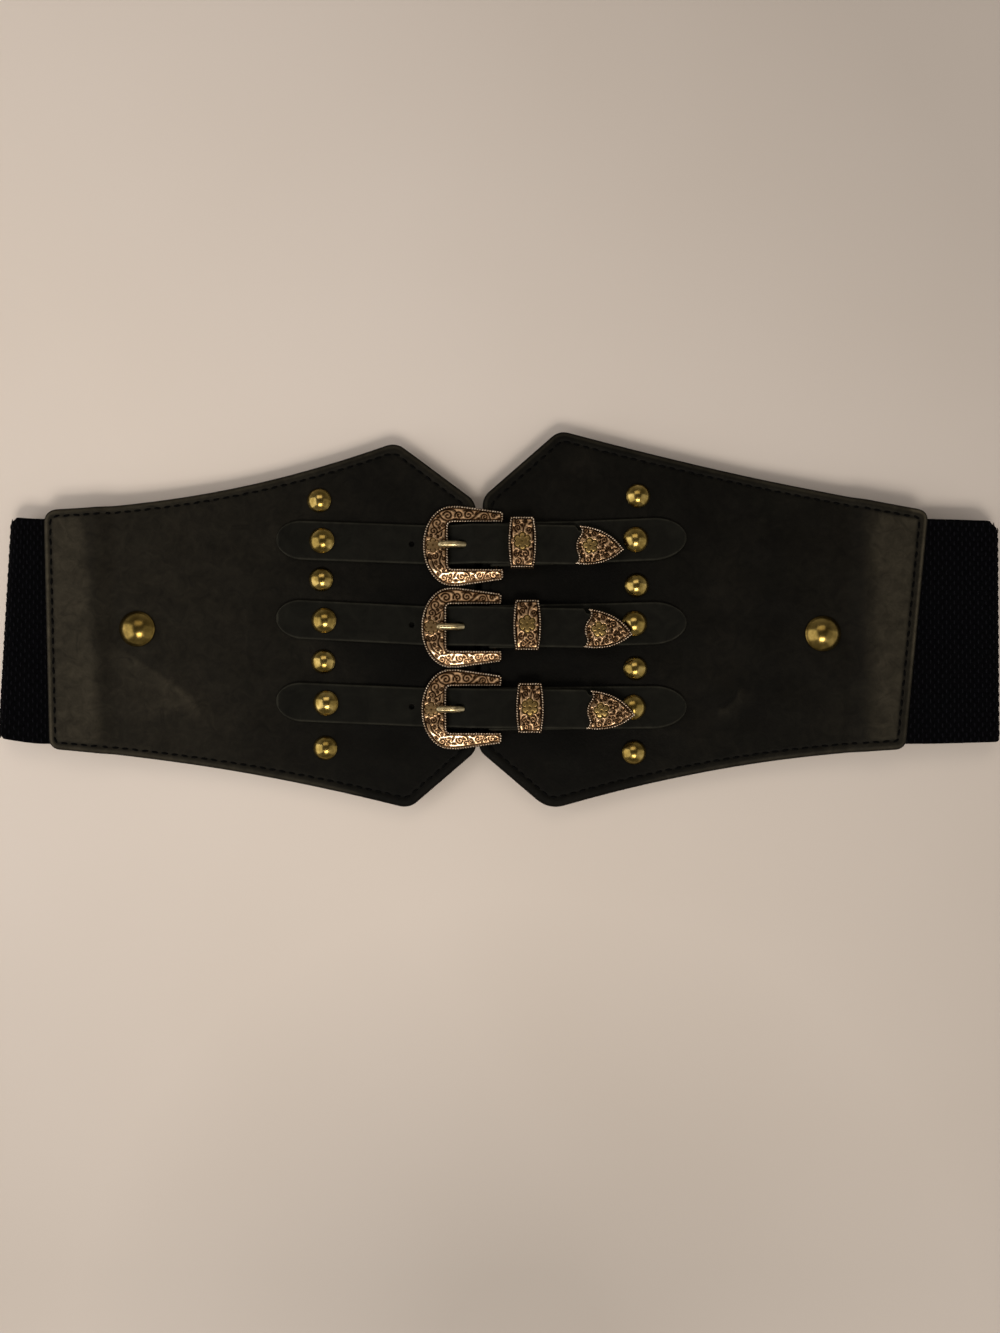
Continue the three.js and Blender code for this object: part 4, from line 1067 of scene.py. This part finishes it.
buckle["strokes"] = [
    # closed side and upper arm
    spiral(3.9, 5.2, 1.5, 300, 1), spiral(5.3, 8.1, 1.9, 250, -1, 1.3), spiral(9.0, 10.9, 1.75, 160, -1, 1.2, 0.36),
    spiral(13.1, 11.1, 1.45, 200, -1), spiral(16.6, 11.2, 1.75, 20, 1), spiral(22.5, 10.4, 1.25, 200, -1),
    spiral(25.8, 10.9, 1.0, 20, 1, 1.1), leaf(18.9, 11.3, 50, 1.5, 0.38), leaf(19.6, 9.6, 20, 1.4, 0.36),
    leaf(27.2, 9.7, 10, 1.0, 0.4), leaf(6.6, 3.2, 75, 1.8, 0.38), leaf(1.9, 2.9, 100, 1.6, 0.34),
    vine([(3.7, 10.2), (5.6, 11.6), (7.2, 9.7), (9.8, 8.7)], 0.32, 0.24),
    vine([(4.6, 12.3), (6.8, 12.9), (9.4, 13.2), (11.6, 12.8), (13.4, 9.5)], 0.32, 0.24),
    vine([(14.4, 9.3), (16.6, 9.3), (18.6, 10.3), (20.6, 12.2), (23.2, 12.2), (24.6, 9.4)], 0.32, 0.22),
    vine([(1.9, 5.2), (2.0, 7.4), (3.0, 9.3)], 0.34, 0.24), vine([(5.6, 4.6), (7.0, 5.6), (8.1, 6.3)], 0.28, 0.22),
    leaf(11.0, 9.3, 20, 1.6, 0.34), leaf(14.8, 12.9, 0, 1.5, 0.3),
    # closed side and lower arm
    spiral(4.4, -3.9, 1.25, 60, -1), spiral(7.6, -11.7, 1.35, 200, 1), spiral(14.1, -11.3, 1.35, 160, 1),
    spiral(20.6, -10.8, 1.2, 20, -1), spiral(25.8, -10.8, 1.35, 160, 1, 1.2, 0.36),
    vine([(1.9, -4.2), (1.8, -6.4), (2.8, -8.8), (5.2, -11.4)], 0.36, 0.28),
    vine([(3.5, -5.8), (4.2, -7.8), (6.5, -9.9)], 0.34, 0.26),
    vine([(6.9, -3.0), (6.2, -5.6), (7.6, -8.0)], 0.34, 0.26),
    leaf(8.6, -9.5, 15, 1.8, 0.38), leaf(11.0, -11.6, 60, 1.9, 0.38), leaf(11.2, -12.6, 0, 1.6, 0.34),
    vine([(15.2, -9.3), (16.6, -10.2), (17.4, -12.4)], 0.34, 0.26), leaf(17.8, -12.4, 10, 1.6, 0.38),
    leaf(18.2, -9.6, -10, 1.2, 0.34), vine([(21.9, -12.0), (23.0, -10.0), (24.2, -9.3)], 0.32, 0.24),
    leaf(27.6, -9.6, -20, 0.9, 0.36), leaf(5.4, -13.0, -25, 1.4, 0.32), leaf(6.1, -6.4, -50, 1.4, 0.34),
]


def arch(y):
    # flat across the middle, then an even slope down each arm
    slope, start, soft = buckle["arch"]
    beyond = np.abs(y) - start
    return -slope * (beyond + np.sqrt(beyond ** 2 + soft)) / 2


def frameUnder(points):
    drop, start, reach = buckle["droop"]
    return frameZ - drop * np.clip((np.abs(points[:, 1]) - start) / reach, 0, 1)


def roundBar(x, y, z, half, radius, sides=20):
    # the bar's ends dip and thin where they run into the arms
    ring = [(math.cos(a), math.sin(a)) for a in np.linspace(0, 2 * math.pi, sides, endpoint=False)]
    spots = [(-half, -0.9, 0.5), (1 - half, 0, radius), (half - 1, 0, radius), (half, -0.9, 0.5)]
    return lofted([[(x + u * r, y + at, z + dip + v * r) for u, v in ring] for at, dip, r in spots])


outline = frameOutline()
for name, row in rows.items():
    bar = roundBar(row["barX"] - row["closedX"], 0, barZ, buckle["open"] / 2 + 0.4, buckle["barRadius"])
    fitMetal((f"buckle_{name}", f"buckle_rope_{name}", f"buckle_frame_{name}"), buckle, outline, frameZ, arch,
             frameUnder, bar, shifted(row["closedX"], row["y"]))
print("buckles made")


# ---- prongs

# place along the belt from the bar, and height above the bar's middle
prong = {"radius": 1.28, "wall": 1.1, "sides": 16,
         "line": [(-1.6, 0.3), (-4.4, 0.15), (-8.2, 0.5), (-10.9, 1.3), (-13.4, 2.45), (-16, 2.95), (-18.6, 2.95),
                  (-21.3, 2.75)]}


def prongMesh(row):
    eye = buckle["barRadius"] + build["slide"] + prong["wall"]
    line = vine([(row["barX"] + x, barZ + z) for x, z in prong["line"]], 1, 1)[:, :2]
    sections = []
    for i, (x, z) in enumerate(line):
        ahead = line[min(i + 1, len(line) - 1)] - line[max(i - 1, 0)]
        ahead = ahead / np.linalg.norm(ahead)
        left = np.linalg.norm(line[-1] - line[i])
        size = prong["radius"] * math.sqrt(max(1 - max(1 - left / 1.1, 0) ** 2, 0.03))
        ring = []
        for a in np.linspace(0, 2 * math.pi, prong["sides"], endpoint=False):
            up, side = size * math.cos(a), size * math.sin(a)
            ring.append((x - ahead[1] * up, row["middleY"] + side, z + ahead[0] * up))
        sections.append(ring)
    middle = (eye + buckle["barRadius"] + build["slide"]) / 2
    eyeSections = []
    for a in np.linspace(0, 2 * math.pi, 28, endpoint=False):
        ring = []
        for b in np.linspace(0, 2 * math.pi, 12, endpoint=False):
            reach = middle + (eye - middle) * math.cos(b)
            ring.append((row["barX"] + reach * math.cos(a), row["middleY"] + prong["radius"] * math.sin(b),
                         barZ + reach * math.sin(a)))
        eyeSections.append(ring)
    return joined(lofted(sections), lofted(eyeSections, ring=True))


for name, row in rows.items():
    makePiece(f"buckle_prong_{name}", prongMesh(row), "prong", "prong_metal", f"prong_{name}")
print("prongs made")


# ---- keepers

keeper = {
    **smallPiece, "width": 10.1, "endWidth": 8.4, "wall": 0.6, "off": 0.35, "crown": 0.5, "fall": 0.7,
    "dome": (0, 1, 1), "rise": 0.3, "rim": 0.72, "flower": (0, 0.3, 3.0, 6), "polish": 0.9, "plainPolish": 0.45,
    "strokes": [
        spiral(-1.6, 4.9, 1.25, 250, -1), spiral(2.3, 4.3, 1.2, 270, 1), spiral(-1.6, 7.25, 1.05, 90, 1),
        spiral(0.9, 7.4, 0.8, 90, -1), leaf(2.4, 6.5, 35, 1.4, 0.38),
        vine([(-3.6, 1.4), (-3.7, 3.2), (-3.1, 5.4)], 0.28, 0.2),
        vine([(3.7, 0.8), (3.8, 2.4), (3.6, 5.2)], 0.28, 0.2), vine([(0.3, 3.5), (0.5, 5.2), (1.0, 6.4)], 0.26, 0.2),
        spiral(-2.0, -4.3, 1.15, 90, 1), spiral(1.1, -4.2, 1.4, 110, -1), spiral(-1.5, -7.0, 1.25, 80, -1),
        leaf(1.6, -7.3, 25, 1.9, 0.38), leaf(3.2, -5.6, 80, 1.4, 0.36),
        vine([(-3.7, -0.8), (-3.8, -2.4), (-3.4, -5.8)], 0.28, 0.2),
        vine([(3.7, -0.6), (3.8, -2.2), (3.4, -4.2)], 0.28, 0.2), leaf(0.2, -6.5, -80, 1.4, 0.3),
    ],
}


def makeKeeper(name, row):
    half = build["shortWidth"] / 2 + row["shortSlope"] * keeper["width"] / 2 + lay + keeper["wall"] + keeper["off"]
    reachAt = lambda y: (keeper["endWidth"] + (keeper["width"] - keeper["endWidth"]) * (1 - (y / half) ** 2)) / 2
    crownAt = lambda y: keeper["crown"] * (1 - (y / half) ** 2) - keeper["fall"] * np.abs(y / half) ** 4
    side = [(reachAt(y), y) for y in np.linspace(-half, half, 31)]
    outline = cornered(side + [(-x, -y) for x, y in side], ([0.7] + [0] * 29 + [0.7]) * 2)

    # the loop that runs down both sides and under the straps, as an outer and an inner line seen from the end
    inner, floor = half - keeper["wall"], strapZ + build["keeperFloor"]
    flat = np.linspace(half - 1.6, -half + 1.6, 9)
    loop = []
    for corner, z in (([(half, roofZ - 0.4), (half, strapZ + 0.4), (half - 0.4, strapZ)], strapZ),
                      ([(inner, roofZ - 0.4), (inner, floor + 0.3), (inner - 0.3, floor)], floor)):
        loop.append(corner + [(y, z) for y in flat] + [(-y, z) for y, z in corner[::-1]])
    sections = []
    for (oy, oz), (iy, iz) in zip(*loop):
        a, b = reachAt(oy) - 0.06, reachAt(iy) - 0.06
        sections.append([(-a, oy, oz), (a, oy, oz), (b, iy, iz), (-b, iy, iz)])
    fitMetal((f"strap_keeper_{name}", f"keeper_rope_{name}", f"keeper_{name}"), keeper, outline, roofZ, crownAt,
             lambda p: roofZ - 0.6 * np.abs(p[:, 1] / half) ** 6, lofted(sections),
             shifted(row["keeperX"], shortY(row, row["keeperX"]) + keeper["off"]))


for name, row in rows.items():
    makeKeeper(name, row)
print("keepers made")


# ---- strap tips

shield = {
    **smallPiece, "length": 16.8, "height": 14.1, "skirt": 0.55, "skirtFrom": 1.6, "arch": 0.6,
    "dome": (0.12, 3, 1), "rise": 0.36, "rim": 0.68, "flower": (4.6, 0.1, 2.65, 5, 180), "polish": 1,
    "plainPolish": 0.4,
    # how far the left edge stands in or out, from the middle to the corner
    "bracket": ((0, -0.7), (0.3, -0.3), (0.5, 0.5), (0.66, 0.9), (0.82, 0.7), (1, 0)),
    "strokes": [
        spiral(2.6, 5.0, 1.25, 200, -1), spiral(5.6, 4.6, 1.1, 20, 1), spiral(9.4, 2.6, 1.3, 150, -1),
        spiral(7.3, 3.4, 0.8, 330, 1, 1.1), vine([(6.4, 5.7), (9.4, 4.9), (12.2, 2.9), (14.6, 0.5)], 0.3, 0.22),
        spiral(4.4, -4.9, 1.4, 160, 1, 1.3, 0.36), spiral(2.0, -3.7, 0.9, 30, -1), spiral(11.3, -0.3, 0.95, 180, -1),
        spiral(10.8, -2.8, 0.9, 20, 1), spiral(7.7, -3.6, 1.0, 200, -1), leaf(7.6, -0.9, 15, 2.2, 0.4),
        vine([(6.2, -5.8), (8.8, -5.2), (11.8, -3.4), (13.6, -1.4)], 0.3, 0.22), leaf(8.0, 0.9, 25, 2.2, 0.36),
        leaf(12.9, 0.2, -5, 1.7, 0.4),
    ],
}


def shieldOutline():
    half, length = shield["height"] / 2, shield["length"]
    t = np.linspace(0, 1, 24)[:, None]
    a, b, c, d = np.array([(0, half), (length * 0.46, half * 1.04), (length * 0.79, half * 0.64), (length, 0)])
    upper = (1 - t) ** 3 * a + 3 * t * (1 - t) ** 2 * b + 3 * t * t * (1 - t) * c + t ** 3 * d
    share = np.linspace(1, -1, 41)[1:-1]
    bracket = np.column_stack([np.interp(np.abs(share), *zip(*shield["bracket"])), share * half])
    return np.vstack([upper[::-1], bracket, (upper * [1, -1])[:-1]])


def makeTip(name, row):
    tipZ, roof = row["tipZ"], row["tipZ"] + strap + lay
    outline = resampled(shieldOutline(), 0.2)
    fall = lambda y: shield["arch"] * (y / 7) ** 2

    # the skirt that wraps the strap's edges, everywhere but at the open end
    wall = outline[outline[:, 0] > shield["skirtFrom"]]
    wall = wall[np.argsort(np.arctan2(wall[:, 1], wall[:, 0] - 2))]
    run = np.gradient(wall, axis=0)
    inner = wall + shield["skirt"] * np.column_stack([-run[:, 1], run[:, 0]]) / np.linalg.norm(run, axis=1)[:, None]
    skirt = lofted([[(*p, tipZ), (*p, high), (*q, high), (*q, tipZ)]
                    for p, q, high in zip(wall, inner, roof + 0.1 - 0.6 * fall(wall[:, 1]))])
    turn = math.radians(row["tipTurn"])
    spin = np.array([[math.cos(turn), math.sin(turn), 0], [-math.sin(turn), math.cos(turn), 0], [0, 0, 1]])
    place = shifted(row["tipX"], longY(row, row["tipX"]))
    fitMetal((f"strap_shield_{name}", f"shield_rope_{name}", f"strap_tip_{name}"), shield, outline, roof,
             lambda y: -fall(y), lambda p: roof - 0.6 * fall(p[:, 1]), skirt, lambda p: place(p @ spin))


for name, row in rows.items():
    makeTip(name, row)
print("strap tips made")


# ---- studs

studs = {"panel": (4.4, 2.6), "strap": (4.6, 2.7), "large": (6.5, 3.8), "post": 1.1, "sides": 56}


def studMesh(radius, height, at, postLength, tilt):
    profile = [(0.02, -postLength), (studs["post"], -postLength), (studs["post"], -0.1), (studs["post"] + 0.2, 0.02),
               (radius - 0.12, 0), (radius, 0.1), (radius - 0.02, 0.34)]
    reach, rise = radius * 0.985, height - 0.34
    ball = (reach ** 2 + rise ** 2) / (2 * rise)
    for share in np.linspace(0.97, 0, 14):
        a = share * math.asin(reach / ball)
        profile.append((max(ball * math.sin(a), 0.02), height - ball * (1 - math.cos(a))))
    turn = np.linspace(0, 2 * math.pi, studs["sides"], endpoint=False)
    sections = np.array([[(r * math.cos(a), r * math.sin(a), z) for a in turn] for r, z in profile])
    c, s = math.cos(tilt), math.sin(tilt)
    return lofted(sections @ np.array([[c, 0, -s], [0, 1, 0], [s, 0, c]]) + np.array(at))


for side, panel in panels.items():
    post, (studX, slant, rivetShift) = build["face"] + lay, panel["stud"]
    spots = []
    for i, place in enumerate(panel["studs"]):
        y = rowCentreY + place * rowPitch
        spots.append((f"stud_{side}_{i + 1}", "panel", (studX + slant * y, y, strapZ), post, 0))
    for name, row in rows.items():
        x = studX + slant * row["y"] + rivetShift
        y = float(longY(row, x) if side == "left" else shortY(row, x))
        spots.append((f"rivet_{side}_{name}", "strap", (x, y, frameZ), post + strap + lay, 0))
    x, y = panel["large"]
    slope = (faceUnder(panel, abs(x) + 1) - faceUnder(panel, abs(x) - 1)) / 2
    onFace = float(faceUnder(panel, x)) + build["face"] + lay
    spots.append((f"large_stud_{side}", "large", (x, y, onFace), post, -panel["side"] * math.atan(float(slope))))
    for name, kind, at, postLength, tilt in spots:
        brass = "largeStud" if kind == "large" else "stud"
        makePiece(f"dome_{name}", studMesh(*studs[kind], at, postLength, tilt), brass, "stud_brass", name)
print("studs made")


# ---- floor

floorReach, floorZ = 3, -0.0003  # in metres
floorMesh = bpy.data.meshes.new("floor")
floorMesh.from_pydata([(x * floorReach, y * floorReach, floorZ) for x, y in ((-1, -1), (1, -1), (1, 1), (-1, 1))], [],
                      [(0, 1, 2, 3)])
floorMesh.materials.append(materials["floor"])
floor = linked("floor", floorMesh)
